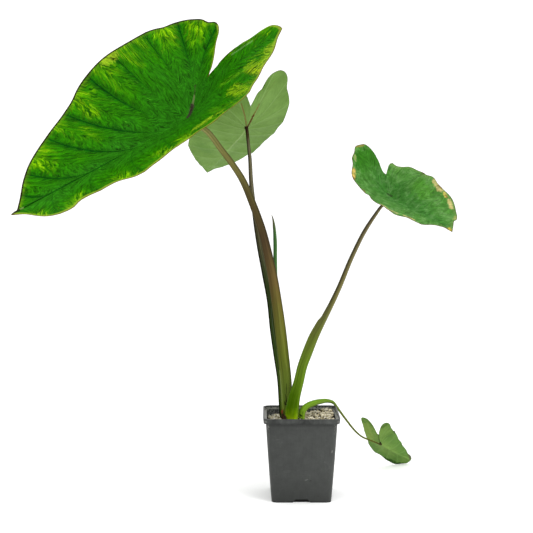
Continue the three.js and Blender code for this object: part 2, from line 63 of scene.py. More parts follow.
MM = 0.001
PLANT_BODY = "root"


def srgb(red, green, blue):
    """A colour given as screen values from 0 to 255, as the linear values that shaders use."""
    def linear(value):
        share = value / 255
        return share / 12.92 if share <= 0.04045 else ((share + 0.055) / 1.055) ** 2.4
    return linear(red), linear(green), linear(blue)


def opaque(colour):
    return (*colour, 1.0)


def length(name, description, millimetres):
    """A size that the user can change, kept in metres as Blender's own sizes are."""
    return FloatProperty(name=name, description=description, default=millimetres * MM,
                         min=0.0, unit="LENGTH", subtype="DISTANCE")


def colour(name, description, red, green, blue):
    return FloatVectorProperty(name=name, description=description, default=srgb(red, green, blue),
                               size=3, min=0.0, max=1.0, subtype="COLOR")


class PotSettings(bpy.types.PropertyGroup):
    rim_width: length("Rim width", "Width across the outside of the lip", 2 * POT_HIGH.x / MM)
    height: length("Height", "From the surface to the top of the lip", POT_HIGH.z / MM)
    shoulder_width: length("Shoulder width", "Width of the body just under the lip", 83.6)
    bottom_width: length("Bottom width", "Width of the body at the surface", 70)
    side_bow: length("Side bow", "How far the sides swell between bottom and lip", 0.6)
    lip_height: length("Lip height", "Height of the lip's outside", 6.2)
    lip_wall: length("Lip wall", "Thickness of the lip", 1.6)
    wall: length("Wall", "Thickness of the body", 1.3)
    ledge_drop: length("Ledge drop", "From the top of the lip down to the step inside it", 3.6)
    corner_radius: length("Corner radius", "Radius of the upright corners at the bottom", 7)
    edge_round: length("Edge round", "Rounding of the moulded edges", 0.5)
    floor_height: length("Floor height", "Height of the underside of the floor", 4)
    floor_wall: length("Floor wall", "Thickness of the floor", 1.6)
    notch_base: length("Notch base", "Width of the bottom notches at the surface", 21)
    notch_top: length("Notch top", "Width of the bottom notches at their top", 14)
    drain_radius: length("Drain radius", "Radius of the drain holes", 3.2)
    plastic: colour("Plastic", "Colour of the moulded plastic", 58, 60, 58)
    scuff: colour("Scuff", "Colour of worn and dusty plastic", 92, 93, 90)


class GritSettings(bpy.types.PropertyGroup):
    grain_size: length("Grain size", "Usual width of a grain", 2.9)
    grains: IntProperty(name="Grains", description="How many grains are scattered", default=1250, min=1)
    pale: colour("Pale grain", "Colour of the palest grains", 236, 230, 210)
    warm: colour("Warm grain", "Colour of the tan grains", 184, 172, 138)
    # The darkest grain colour is partly painted shade, for grains low in the gaps.
    shadow: colour("Damp grain", "Colour of the darkest grains", 78, 70, 52)
    soil_and_gap_shade: colour("Soil and gap shade", "Colour of the damp mix between the grains", 30, 24, 16)


class StemSettings(bpy.types.PropertyGroup):
    ridge: length("Ridge", "Height of the fine ridges along a stem", 0.06)
    sides: IntProperty(name="Sides", description="Faces round a stem", default=40, min=8)
    ring_step: length("Ring step", "Distance between a stem's rings", 3)


class BladeSettings(bpy.types.PropertyGroup):
    thickness: length("Thickness", "Thickness of the blade between its veins", 0.45)
    midrib: length("Midrib", "Thickness of the midrib at the junction", 2.6)
    vein: length("Vein", "Thickness of the main side veins near the midrib", 1.5)
    quilting: length("Quilting", "How far the blade swells up between main side veins", 0.7)
    ruffle: length("Ruffle", "How far the margin waves up and down", 0.9)
    face_step: length("Face step", "Usual width of a face at the margin", 3)


class StageSettings(bpy.types.PropertyGroup):
    camera_back: length("Camera back", "Distance of the camera in front of the pot's middle", 1256)
    camera_left: length("Camera left", "Distance of the camera to the left of the pot's middle", 42)
    camera_up: length("Camera up", "Height of the camera", 340)
    camera_pitch: FloatProperty(name="Camera pitch", description="How far the camera looks down",
                                default=math.radians(3.0), unit="ROTATION", subtype="ANGLE")
    camera_yaw: FloatProperty(name="Camera yaw", description="How far the camera looks to the right",
                              default=math.radians(0.05), unit="ROTATION", subtype="ANGLE")
    lens: FloatProperty(name="Lens", description="Focal length on a 36 mm sensor", default=71.6, min=1)
    floor_radius: length("Floor radius", "Radius of the pale floor", 30000)
    floor: colour("Floor", "Colour of the floor", 249, 249, 249)
    sky: FloatProperty(name="Surround", description="Strength of the white surround", default=1.27, min=0)
    key: FloatProperty(name="Key light", description="Power of the large light", default=26, min=0,
                       unit="POWER")


# Leaf blades. Each is a flat outline laid on a curved surface, as in the part's source: u runs along
# the midrib from the stem's junction to the tip and v out to the side, in millimetres. Angles are in
# degrees. margin_left and margin_right start at the sinus and end at the tip. Each main side vein is
# its foot on the midrib, where it meets the left and right margins, as shares of their lengths, and
# how far it bows towards the tip on the left and on the right.
BEND_REACH = 0.32
BEND_CENTRE = -0.07
CURL_REACH = 0.55
STATION_STEP = 3
CREASE_WIDTH = 1.5
TIP_REACH = 4

MAIN_LEAF = {
    "junction": (-128, -46, 451), "heading": 228.2, "slope": -40.4, "roll": -31.2,
    "arch": 5, "sideways": -6.5, "twist": -0.6,
    "junction_bend": -46.1, "junction_turn": -26.6, "junction_twist": 1.3,
    "length": 254, "lobes": 141,
    "fold_left": (22.4, 38.7, 18.2), "fold_right": (19.7, 39.7, 17.1), "curl": (9.4, 12.9),
    "margin_left": [
        (-52, 0), (-68, 15.5), (-84, 32), (-90.5, 41), (-94.5, 52), (-104.8, 70.2), (-108.4, 86),
        (-107, 92), (-103, 98), (-99, 96.5), (-76, 97), (-64, 95.4), (-45, 95), (-28, 97), (-4, 101),
        (13, 105), (38, 107), (52, 101), (66, 91.5), (89, 86.6), (104, 84.6), (130, 77), (143, 75.6),
        (150.5, 70.7), (158.4, 63.7), (197, 45.9), (204.4, 44.1), (215, 47.1), (227.4, 47.3), (235, 44),
        (240.6, 37.6), (246, 27), (252, 6), (257, 0)],
    "margin_right": [
        (-52, 0), (-60, -2.3), (-78, -4.2), (-96, -3), (-110.7, -3.3), (-116.2, -1.2), (-118.1, 1.1),
        (-116.5, 11.3), (-118, 17), (-115.4, 29), (-106.5, 49.3), (-97.6, 62), (-92.9, 71.3),
        (-85.6, 81.5), (-70, 93.5), (27, 105.5), (74, 100.2), (112.2, 84.7), (124, 77), (141, 69),
        (172, 56.5), (209.5, 37.6), (222.1, 27.8), (244, 6.5), (250, 1.6), (257, 0)],
    "veins": [
        (0, 0.24, 0.121, -15, 12), (0, 0.337, 0.216, -8, -1), (4, 0.413, 0.301, 0, 3.5),
        (7, 0.492, 0.568, 4, 2), (15, 0.563, 0.644, 8, 12), (42, 0.63, 0.741, 9, 10),
        (91, 0.712, 0.808, 9, 10), (150, 0.801, 0.901, 8, 8), (205, 0.895, 0.951, 4, 4)],
}

BACK_LEAF = {
    "junction": (-65, 25, 441), "heading": 110.4, "slope": -31.8, "roll": 3.7,
    "arch": -5.2, "sideways": -4.3, "twist": 3.4,
    "junction_bend": -36.1, "junction_turn": 19.4, "junction_twist": -0.2,
    "length": 150, "lobes": 74,
    "fold_left": (13.7, 18, 9.7), "fold_right": (13.7, 18, 9.7), "curl": (-0.8, -0.8),
    "margin_left": [
        (-32, 0), (-39.5, 2.5), (-45.4, 4), (-54, 11), (-67, 27), (-65, 45), (-45, 50), (-24, 52),
        (-3, 53), (18, 53), (39, 52), (60, 51), (80, 48), (92.1, 44.4), (103, 38.1), (115.4, 28.8),
        (124.9, 22.3), (139.8, 9.7), (150, 0)],
    "margin_right": [
        (-32, 0), (-48.5, 10.1), (-55.4, 17.8), (-60, 19.2), (-65, 23.1), (-69.3, 28.5), (-70.8, 33.9),
        (-70.9, 39.2), (-67.9, 44.7), (-62.6, 47.4), (-45.2, 47.9), (-36.9, 50.7), (-18.6, 53.3),
        (16.9, 51.7), (56.2, 46.4), (84.1, 40.4), (92.8, 36.9), (112, 26.7), (130.3, 14.1), (140.4, 5.6),
        (150, 0)],
    "veins": [
        (0, 0.171, 0.172, -3, -3), (0, 0.271, 0.264, 1, 1), (0, 0.371, 0.367, 2, 2),
        (4, 0.47, 0.466, 3, 3), (17, 0.56, 0.554, 4, 4), (38, 0.65, 0.643, 5, 5),
        (63, 0.738, 0.731, 5, 5), (91, 0.831, 0.822, 4, 4), (121, 0.92, 0.911, 2, 2)],
}

RIGHT_LEAF = {
    "junction": (103, -15, 358), "heading": -63.7, "slope": -33.6, "roll": 12.4,
    "arch": 7.9, "sideways": -3.6, "twist": -0.8,
    "junction_bend": -57.3, "junction_turn": 36.7, "junction_twist": 6.7,
    "length": 116, "lobes": 68,
    "fold_left": (-5.3, 32.5, 7.8), "fold_right": (7.9, 24, 9.4), "curl": (9.5, 2.7),
    "margin_left": [
        (-31, 0), (-34.5, 1.7), (-44.6, 2.1), (-47.1, 5.7), (-45.2, 9), (-45.2, 19.6), (-47, 25),
        (-44.8, 36), (-41, 46.5), (-31, 49), (-12, 48.5), (8, 46), (22, 45.3), (32.2, 47), (44.3, 42.5),
        (53, 40.7), (67.5, 38.2), (88.7, 27), (100.7, 18.1), (102.2, 15.9), (101, 14.1), (104.6, 10.7),
        (110.6, 5.2), (116, 0)],
    "margin_right": [
        (-31, 0), (-32.3, 3.6), (-41, 11), (-50.4, 17.2), (-54, 21.5), (-58.7, 30), (-59.3, 33.4),
        (-57.5, 38), (-52.6, 44.9), (-44.6, 45.8), (-36, 48.6), (-29, 48), (-15.2, 50.3), (-8.6, 46.8),
        (6.1, 43.5), (10.8, 41), (22.7, 44.3), (37.1, 47), (52.4, 41.5), (62, 41.5), (71.6, 31.5),
        (87.6, 23.9), (94.5, 12.3), (98, 5.5), (104, 2.7), (116, 0)],
    "veins": [
        (0, 0.204, 0.215, -2, -2), (0, 0.306, 0.307, 0, 0), (0, 0.401, 0.402, 1, 1),
        (3, 0.497, 0.49, 2, 2), (12, 0.586, 0.574, 3, 3), (28, 0.673, 0.665, 4, 4),
        (48, 0.76, 0.757, 4, 4), (70, 0.839, 0.849, 3, 3), (93, 0.926, 0.93, 2, 2)],
}

DROOPING_LEAF = {
    "junction": (108, 116, 37.2), "heading": 48.3, "slope": -48.8, "roll": -52.9,
    "arch": -0.2, "sideways": -8.1, "twist": -7.2,
    "junction_bend": -20.7, "junction_turn": -62.7, "junction_twist": -10.1,
    "length": 66, "lobes": 36,
    "fold_left": (30, 56.5, 16.4), "fold_right": (-2.1, 13.2, 10.5), "curl": (-2.5, 6.9),
    "margin_left": [
        (-13, 0), (-13.5, 2.5), (-23, 12.8), (-28, 24), (-26.5, 29), (-24, 29), (-16.7, 26), (-6, 22),
        (-2, 21.5), (10.5, 25.5), (15, 26), (31, 20), (40, 19), (51, 17), (62, 12.5), (67, 7), (67.5, 0)],
    "margin_right": [
        (-13, 0), (-17, 0), (-26, 0), (-30, 3), (-31.5, 7.5), (-29.8, 11), (-26, 13.5), (-22, 18),
        (-12, 23), (6, 25.2), (17.8, 22.5), (23.5, 20.6), (28.2, 17.9), (34.3, 16.4), (39.2, 13.9),
        (49.4, 10.4), (56.2, 6.8), (64.1, 4.8), (67.1, 2.4), (67.5, 0)],
    "veins": [
        (0, 0.227, 0.212, -1, -1), (0, 0.358, 0.327, 0, 0), (1, 0.472, 0.442, 1, 1),
        (8, 0.599, 0.58, 2, 2), (20, 0.713, 0.71, 2, 2), (38, 0.837, 0.844, 1, 1)],
}

# Stems. Each runs through its points (x, y, z, half width, half depth), in millimetres. A leaf's stem
# is then led up until it lies just under the junction of its blade.
STEM_FOOT = 82.6
STEM_LEAD = 3.2
STEM_GAP = 0.3
HALF_BLADE = 0.5

MAIN_STEM = [
    (-16, 7, STEM_FOOT, 6.2, 5.6), (-16.4, 6.2, 104, 6.8, 6), (-17.5, 6, 134, 6.9, 6),
    (-21.1, 5.5, 170, 6.9, 6), (-24.2, 4.6, 198, 6.7, 5.8), (-29.1, 3, 234, 6.2, 5.4),
    (-33.8, 0, 263, 5.8, 5.2), (-38.9, -4, 287, 5.4, 5), (-45.3, -9.5, 314, 4.9, 4.7),
    (-57.7, -16, 350, 4.3, 4), (-69.7, -22, 377.6, 3.9, 3.7), (-81.3, -27, 395.3, 3.6, 3.5),
    (-92.6, -31, 410, 3.4, 3.3), (-109.6, -35.4, 431.6, 3.2, 3.1)]
BACK_STEM = [
    (-20.9, 15.5, STEM_FOOT, 3.2, 2.8), (-22.3, 15.4, 101, 3.5, 3), (-24.8, 15.3, 139, 3.6, 3.1),
    (-28.4, 15.3, 163, 3.6, 3.1), (-33.2, 15.5, 197, 3.6, 3), (-37, 16, 233, 3.6, 2.8),
    (-42.2, 16.6, 262, 3.8, 2.7), (-49.1, 17, 297, 3.3, 2.5), (-55.3, 17.6, 338, 2.9, 2.4),
    (-59.4, 18.2, 376, 2.5, 2.1), (-60.9, 19.2, 404, 2.2, 2), (-62.6, 21.4, 420, 1.9, 1.9)]
RIGHT_STEM = [
    (-11, -7.4, STEM_FOOT, 6.2, 4.8), (-11, -7.6, 95, 7.6, 5.6), (-10.2, -8, 105, 7.9, 5.8),
    (-7.6, -8, 120, 6.9, 5.4), (-3.4, -8, 135, 6.1, 5.2), (2, -8.5, 157, 5.7, 4.8),
    (8.2, -9, 173, 5.5, 4.6), (15.7, -9, 191, 4.9, 4.2), (24.7, -9.5, 209, 4, 3.4),
    (35.4, -10, 230, 3.3, 2.9), (43.8, -10, 248, 3, 2.6), (59.5, -10.5, 286, 2.6, 2.3),
    (76, -10.5, 319, 2.4, 2), (86, -10.8, 334.4, 2.1, 1.8), (94.4, -12, 346, 1.8, 1.6)]
DROOPING_STEM = [
    (1, -1, STEM_FOOT, 3, 2.8), (1.1, -1, 92, 3.7, 3.2), (1.2, -0.8, 97, 4, 3.2),
    (2.2, 0, 101.2, 4, 3.4), (5, 2.4, 104.6, 3.9, 3.6), (9.2, 5.6, 107, 3.8, 3.6),
    (13.8, 9, 108.3, 3.7, 3.6), (18.9, 13, 109.2, 3.5, 3.4), (26.4, 19, 109.6, 3, 3),
    (32.8, 25, 109, 2.5, 2.5),
    (38.1, 31.4, 107, 2.1, 2.1), (41, 37.6, 104.7, 1.9, 1.9), (43.1, 43.4, 102.1, 1.7, 1.7),
    (45.8, 47.6, 98, 1.6, 1.6), (52.2, 53, 88.6, 1.4, 1.4), (59.8, 60, 77.7, 1.3, 1.3),
    (69.3, 69, 64.7, 1.2, 1.2), (79.8, 80, 53.6, 1.1, 1.1), (93.1, 94, 45.3, 1, 1),
    (100.9, 104, 40.4, 0.9, 0.9)]
NEW_LEAF_STALK = [
    (-14, 17.4, STEM_FOOT, 2.4, 2.4), (-14.6, 17.2, 106, 2.5, 2.5), (-17, 16.4, 124, 2.5, 2.5),
    (-21, 15, 161, 2.4, 2.4), (-25, 13.6, 197, 2.3, 2.3), (-28.3, 12, 233.6, 2.2, 2.2)]
NEW_LEAF_SPIKE = [
    (-28.36, 11.96, 233.6, 2.2, 2.2), (-30, 10.6, 258, 2.5, 2.5), (-30.6, 10, 280, 2.6, 2.6),
    (-30.8, 9.6, 305, 2.6, 2.6), (-32, 9, 322, 1.9, 1.9), (-33.4, 8.8, 331, 1, 1),
    (-34.8, 8.6, 335.6, 0.3, 0.3)]


# Working with Blender's operators
def deselect_all():
    for item in bpy.context.selected_objects:
        item.select_set(False)


def take_up(piece):
    """Makes one object the only selected one, and the active one."""
    deselect_all()
    piece.select_set(True)
    bpy.context.view_layer.objects.active = piece


class Editing:
    """Edit mode on one object, with nothing selected at the start."""

    def __init__(self, piece):
        self.piece = piece

    def __enter__(self):
        take_up(self.piece)
        bpy.ops.object.mode_set(mode="EDIT")
        bpy.ops.mesh.select_mode(type="FACE")
        bpy.ops.mesh.select_all(action="DESELECT")
        return self

    def __exit__(self, *problem):
        bpy.ops.object.mode_set(mode="OBJECT")

    def pick(self, kind, test):
        """Selects the faces, edges or verts that pass the test, and nothing else."""
        bpy.ops.mesh.select_mode(type={"faces": "FACE", "edges": "EDGE", "verts": "VERT"}[kind])
        bpy.ops.mesh.select_all(action="DESELECT")
        mesh = bmesh.from_edit_mesh(self.piece.data)
        for item in getattr(mesh, kind):
            item.select_set(bool(test(item)))
        bmesh.update_edit_mesh(self.piece.data)


def named(name):
    """The object that an operator has just added, under its own name."""
    piece = bpy.context.active_object
    piece.name = name
    piece.data.name = name
    return piece


def settle(piece):
    """Applies the object's place, so that it sits at the origin, unturned and unscaled."""
    take_up(piece)
    bpy.ops.object.transform_apply(location=True, rotation=True, scale=True)
    return piece


def apply_modifier(piece, kind, **choices):
    take_up(piece)
    modifier = piece.modifiers.new(kind.title(), kind)
    for name, value in choices.items():
        setattr(modifier, name, value)
    bpy.ops.object.modifier_apply(modifier=modifier.name)


def cut(piece, tool, operation):
    """Cuts a tool out of a piece, or joins it on, and removes the tool."""
    apply_modifier(piece, "BOOLEAN", object=tool, operation=operation, solver="EXACT")
    bpy.data.objects.remove(tool)


def smooth(piece, angle=math.radians(40)):
    take_up(piece)
    bpy.ops.object.shade_smooth_by_angle(angle=angle)


def finish_piece(piece, nodes, materials=()):
    """Gives a piece its materials and its body, and hides the nodes it stands for."""
    if not piece.data.polygons:
        raise RuntimeError(f"{piece.name} has no faces")
    for material in materials:
        piece.data.materials.append(material)
    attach(piece, PLANT_BODY)
    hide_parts(*nodes)


# Sheets: grids of faces that are set onto a shape worked out in code
def sheet_of_faces(name, rows, columns):
    """A grid with rows + 1 lines of columns + 1 vertices."""
    deselect_all()
    bpy.ops.mesh.primitive_grid_add(x_subdivisions=columns, y_subdivisions=rows, size=1)
    return named(name)


def set_places(piece, places):
    """Moves the vertices to places in millimetres, an array of rows by columns by 3."""
    piece.data.vertices.foreach_set("co", (np.asarray(places) * MM).ravel())
    piece.data.update()


def add_attribute(piece, name, *parts):
    """Keeps three numbers for each vertex, as the materials read them, on the faces' corners."""
    values = np.stack(np.broadcast_arrays(*parts), axis=-1).astype(float).reshape(-1, 3)
    corners = np.zeros(len(piece.data.loops), int)
    piece.data.loops.foreach_get("vertex_index", corners)
    layer = piece.data.attributes.new(name, "FLOAT_VECTOR", "CORNER")
    layer.data.foreach_set("vector", values[corners].ravel())


def weld(piece, reach=0.01):
    with Editing(piece):
        bpy.ops.mesh.select_all(action="SELECT")
        bpy.ops.mesh.remove_doubles(threshold=reach * MM)


def ease(share):
    held = np.clip(share, 0.0, 1.0)
    return held * held * (3 - 2 * held)


def smooth_route(points, step):
    """Places every step along a smooth curve through points. Columns past x, y, z run along with them."""
    table = np.array(points, float)
    spans = np.linalg.norm(np.diff(table[:, :3], axis=0), axis=1)
    knots = np.concatenate([[0.0], np.cumsum(spans)])
    slopes = np.gradient(table, knots, axis=0)
    rings = max(2, round(knots[-1] / step))
    along = np.linspace(0, knots[-1], rings + 1)
    index = np.clip(np.searchsorted(knots, along, side="right") - 1, 0, len(knots) - 2)
    span = spans[index]
    t = (along - knots[index]) / span
    weights = [
        2 * t ** 3 - 3 * t ** 2 + 1, (t ** 3 - 2 * t ** 2 + t) * span,
        3 * t ** 2 - 2 * t ** 3, (t ** 3 - t ** 2) * span]
    parts = [table[index], slopes[index], table[index + 1], slopes[index + 1]]
    route = sum(weight[:, None] * part for weight, part in zip(weights, parts))
    for column in range(3, table.shape[1]):
        route[:, column] = np.interp(along, knots, table[:, column])
    return route, along


# Node materials. Colours are given as they look in the bright light of the stage, which is strong
# enough to whiten the floor, so each surface is darker than its colour by this share.
EXPOSURE = 0.82


class Value:
    """What a node gives for each point of a surface. Plain sums of values become math nodes."""

    def __init__(self, finish, socket):
        self.finish = finish
        self.socket = socket

    def __add__(self, other):
        return self.finish.math("ADD", self, other)

    def __sub__(self, other):
        return self.finish.math("SUBTRACT", self, other)

    def __rsub__(self, other):
        return self.finish.math("SUBTRACT", other, self)

    def __mul__(self, other):
        return self.finish.math("MULTIPLY", self, other)

    def __truediv__(self, other):
        return self.finish.math("DIVIDE", self, other)

    def __pow__(self, other):
        return self.finish.math("POWER", self, other)

    def __abs__(self):
        return self.finish.math("ABSOLUTE", self)

    __radd__ = __add__


class Finish:
    """A material that is being wired. Each method adds one node and gives back its value."""

    def __init__(self, name, roughness, gloss):
        self.material = bpy.data.materials.new(name)
        self.material.use_nodes = True
        self.tree = self.material.node_tree
        self.shader = self.tree.nodes["Principled BSDF"]
        self.shader.inputs["Roughness"].default_value = roughness
        self.shader.inputs["Specular IOR Level"].default_value = gloss

    def node(self, kind, inputs, output=0, **choices):
        node = self.tree.nodes.new(kind)
        for name, value in choices.items():
            setattr(node, name, value)
        for socket, value in inputs.items():
            self.feed(node.inputs[socket], value)
        return Value(self, node.outputs[output])

    def feed(self, socket, value):
        if isinstance(value, Value):
            self.tree.links.new(value.socket, socket)
        else:
            socket.default_value = value

    def place(self):
        """Object coordinates in millimetres."""
        return self.scaled(self.node("ShaderNodeTexCoord", {}, output="Object"), 1 / MM)

    def attribute(self, name):
        return self.split(self.node("ShaderNodeAttribute", {}, output="Vector", attribute_name=name))

    def split(self, vector):
        node = self.tree.nodes.new("ShaderNodeSeparateXYZ")
        self.feed(node.inputs[0], vector)
        return [Value(self, output) for output in node.outputs]

    def join(self, x, y, z=0.0):
        return self.node("ShaderNodeCombineXYZ", {0: x, 1: y, 2: z})

    def math(self, operation, first, second=0.0):
        return self.node("ShaderNodeMath", {0: first, 1: second}, operation=operation)

    def between(self, value, low, high):
        """Nought below low, one above high and a smooth rise between. Low above high falls instead."""
        if low > high:
            return 1.0 - self.between(value, high, low)
        sockets = {"Value": value, "From Min": low, "From Max": high}
        return self.node("ShaderNodeMapRange", sockets, interpolation_type="SMOOTHSTEP")

    def noise(self, vector, scale, detail=2.0, roughness=0.5, distortion=0.0):
        sockets = {"Vector": vector, "Scale": scale, "Detail": detail, "Roughness": roughness,
                   "Distortion": distortion}
        return self.node("ShaderNodeTexNoise", sockets)

    def vector(self, operation, first, second, output=0):
        return self.node("ShaderNodeVectorMath", {0: first, 1: second}, output, operation=operation)

    def distance(self, first, second=(0, 0, 0)):
        return self.vector("DISTANCE", first, second, output=1)

    def scaled(self, vector, factor):
        """A vector made longer or shorter, or a colour made lighter or darker."""
        return self.node("ShaderNodeVectorMath", {0: vector, "Scale": factor}, operation="SCALE")

    def mix(self, share, first, second):
        """One colour turning into another as share goes from nought to one."""
        first, second = (value if isinstance(value, Value) else opaque(value) for value in (first, second))
        return self.node("ShaderNodeMix", {0: share, 6: first, 7: second}, output=2, data_type="RGBA")

    def ramp(self, share, stops):
        """A colour that runs through stops of (share, colour)."""
        node = self.tree.nodes.new("ShaderNodeValToRGB")
        band = node.color_ramp
        while len(band.elements) < len(stops):
            band.elements.new(1.0)
        for element, (position, tint) in zip(band.elements, stops):
            element.position = position
            element.color = opaque(tint)
        self.feed(node.inputs[0], share)
        return Value(self, node.outputs[0])

    def done(self, tint, height=None, depth=0.1, roughness=None, exposure=EXPOSURE):
        """Connects the colour, the relief of the given depth in millimetres and the roughness."""
        self.feed(self.shader.inputs["Base Color"], self.scaled(tint, exposure))
        if height is not None:
            bump = {"Height": height, "Distance": depth * MM, "Strength": 1.0}
            self.feed(self.shader.inputs["Normal"], self.node("ShaderNodeBump", bump))
        if roughness is not None:
            self.feed(self.shader.inputs["Roughness"], roughness)
        return self.material


def levels(*pairs):
    """Stops of a ramp that gives a brightness instead of a colour."""
    return [(position, (level, level, level)) for position, level in pairs]


def colours(*rows):
    """Stops of a ramp from rows of position, red, green and blue."""
    return [(position, srgb(*tone)) for position, *tone in rows]


def add_marks(finish, tint, flat, marks, grain=1.0):
    """Stains, worn patches, dark lines and painted shade. Each has two flat ends, a reach, a colour and a
    strength.
    """
    rough = finish.noise(flat, scale=0.3, detail=4, roughness=0.65) - 0.5
    for start, end, reach, tone, strength in marks:
        run = Vector((*end, 0)) - Vector((*start, 0))
        off = finish.vector("SUBTRACT", flat, (*start, 0))
        along = finish.vector("DOT_PRODUCT", off, tuple(run), output=1)
        share = finish.node("ShaderNodeClamp", {"Value": along * (1 / max(run.length_squared, 1e-6))})
        ragged = finish.distance(off, finish.scaled(tuple(run), share)) + rough * (2.2 * reach)
        inside = finish.between(ragged, reach, 0.35 * reach) * grain
        tint = finish.mix(inside * strength, tint, srgb(*tone))
    return tint


# Blade surfaces
def turned(vector, axis, angle):
    return Quaternion(axis, angle) @ vector


def turn_axes(axes, droop, turn, twist):
    along, across, up = axes
    along, up = turned(along, across, droop), turned(up, across, droop)
    along, across = turned(along, up, turn), turned(across, up, turn)
    across, up = turned(across, along, twist), turned(up, along, twist)
    return along, across, up


def junction_share(leaf, u):
    """How much of the junction's bend falls on each millimetre of the midrib at u."""
    half = BEND_REACH * leaf["length"]
    t = (u - BEND_CENTRE * leaf["length"]) / half
    return (1 + math.cos(math.pi * t)) / (2 * half) if abs(t) < 1 else 0.0


def march_midrib(leaf, sign, reach):
    """Stations (u, centre, along, across, up) from the junction towards the tip or the lobes."""
    heading, slope = math.radians(leaf["heading"]), math.radians(leaf["slope"])
    level = Vector((math.cos(heading), math.sin(heading), 0))
    along = level * math.cos(slope)
    along.z = math.sin(slope)
    across = turned(Vector((-level.y, level.x, 0)), along, math.radians(leaf["roll"]))
    axes = (along, across, along.cross(across))
    centre = Vector(leaf["junction"])
    stations = [(0.0, centre, *axes)]
    steps = math.ceil(reach / STATION_STEP)
    step = reach / steps
    for index in range(steps):
        bend = junction_share(leaf, sign * (index + 0.5) * step) * step * sign
        front = step / leaf["length"] if sign > 0 else 0.0
        halves = [
            math.radians(leaf[over_front] * front + leaf[at_junction] * bend) / 2
            for over_front, at_junction in (
                ("arch", "junction_bend"), ("sideways", "junction_turn"), ("twist", "junction_twist"))]
        axes = turn_axes(axes, *halves)
        centre = centre + axes[0] * (sign * step)
        axes = turn_axes(axes, *halves)
        stations.append((sign * (index + 1) * step, centre, *axes))
    return stations


class BladeSurface:
    """The curved surface that a blade's flat outline lies on."""

    def __init__(self, leaf):
        self.leaf = leaf
        back = march_midrib(leaf, -1, leaf["lobes"])[:0:-1]
        stations = back + march_midrib(leaf, 1, leaf["length"] + TIP_REACH)
        self.u = np.array([station[0] for station in stations])
        self.centre, _, self.across, self.up = (
            np.array([station[item] for station in stations]) for item in (1, 2, 3, 4))

    def between_stations(self, values, u):
        return np.stack([np.interp(u, self.u, values[:, axis]) for axis in range(3)], axis=-1)

    def axes(self, u):
        across = self.between_stations(self.across, u)
        up = self.between_stations(self.up, u)
        across /= np.linalg.norm(across, axis=-1, keepdims=True)
        up /= np.linalg.norm(up, axis=-1, keepdims=True)
        return self.between_stations(self.centre, u), across, up

    def fold(self, u, angles):
        """The rise of a half of the blade from the midrib, in radians."""
        back, middle, front = angles
        to_back = ease(-u / (CURL_REACH * self.leaf["length"]))
        to_front = ease(u / self.leaf["length"])
        return np.radians(middle + (front - middle) * to_front + (back - middle) * to_back)

    def points(self, u, v, lift):
        """Points of the surface at flat places u, v, lifted off it. v is positive on the left half."""
        leaf = self.leaf
        centre, across, up = self.axes(u)
        left = v >= 0
        side = np.where(left, 1.0, -1.0)
        fold = np.where(left, self.fold(u, leaf["fold_left"]), self.fold(u, leaf["fold_right"]))
        curl = np.radians(np.where(left, leaf["curl"][0], leaf["curl"][1]))
        out = np.abs(v)
        half = curl / (CURL_REACH * leaf["length"]) * out / 2
        soft = np.sqrt(out ** 2 + CREASE_WIDTH ** 2) - CREASE_WIDTH
        chord = np.sinc(half / math.pi)
        angle = fold + 2 * half
        sideways = side * (out * chord * np.cos(fold + half) - lift * np.sin(angle) * soft / (out + 1e-9))
        upward = soft * chord * np.sin(fold + half) + lift * np.cos(angle)
        return centre + sideways[..., None] * across + upward[..., None] * up


def round_margin(points, shares):
    """Flat places at shares of the length of a smooth line through the margin's points."""
    line, along = smooth_route([(*point, 0.0) for point in points], 0.5)
    return np.stack([np.interp(shares * along[-1], along, line[:, axis]) for axis in (0, 1)], axis=-1)


def vein_lines(leaf):
    """Every main side vein, with the sinus and the tip added."""
    sinus = leaf["margin_left"][0][0]
    tip = leaf["margin_left"][-1][0]
    return [(sinus, 0.0, 0.0, 0.0, 0.0), *leaf["veins"], (tip, 1.0, 1.0, 0.0, 0.0)]


def ray_table(leaf, face_step):
    """For each ray of faces: its foot, shares of the margins, bows, interval and place in the interval."""
    lines = vein_lines(leaf)
    margin = sum(
        np.linalg.norm(np.diff(np.array(leaf[side], float), axis=0), axis=1).sum()
        for side in ("margin_left", "margin_right")) / 2
    rays = []
    for interval, (start, end) in enumerate(zip(lines, lines[1:])):
        width = margin * (end[1] - start[1] + end[2] - start[2]) / 2
        steps = max(6, 2 * round(width / face_step / 2))
        for step in range(steps):
            share = step / steps
            ray = [a + (b - a) * share for a, b in zip(start, end)]
            rays.append((*ray, interval, share))
    rays.append((*lines[-1], len(lines) - 2, 1.0))
    names = ("foot", "left_share", "right_share", "left_bow", "right_bow", "interval", "place")
    return dict(zip(names, np.array(rays).T))


# Stage. A lamp is its name, its place in metres and its share of the key light's power.
PALEST_FLOOR = srgb(250, 250, 250)
LAMP_TARGET = Vector((-0.05, 0, 0.3))
LAMP_SIZE = 1.2
LAMPS = [("key_light", (1.4, -1.3, 1.9), 1.0), ("fill_light", (-1.6, -1.2, 1.2), 0.35)]
CLIP_END = 100


class ELEPHANTEAR_OT_stage(bpy.types.Operator):
    """Lay the pale floor and set up the lights and the camera"""
    bl_idname = "elephantear.stage"
    bl_label = "Stage"

    def execute(self, context):
        settings = context.scene.elephantear_stage
        build_floor(settings)
        build_lights(context.scene, settings)
        build_camera(context.scene, settings)
        return {"FINISHED"}


def build_floor(settings):
    deselect_all()
    bpy.ops.mesh.primitive_circle_add(vertices=96, radius=settings.floor_radius, fill_type="NGON")
    floor = named("pale_floor")
    finish = Finish("pale_floor", roughness=0.9, gloss=0.1)
    cloud = finish.noise(finish.place(), scale=0.002)
    tint = finish.mix(cloud, settings.floor, PALEST_FLOOR)
    floor.data.materials.append(finish.done(tint, exposure=1.0))


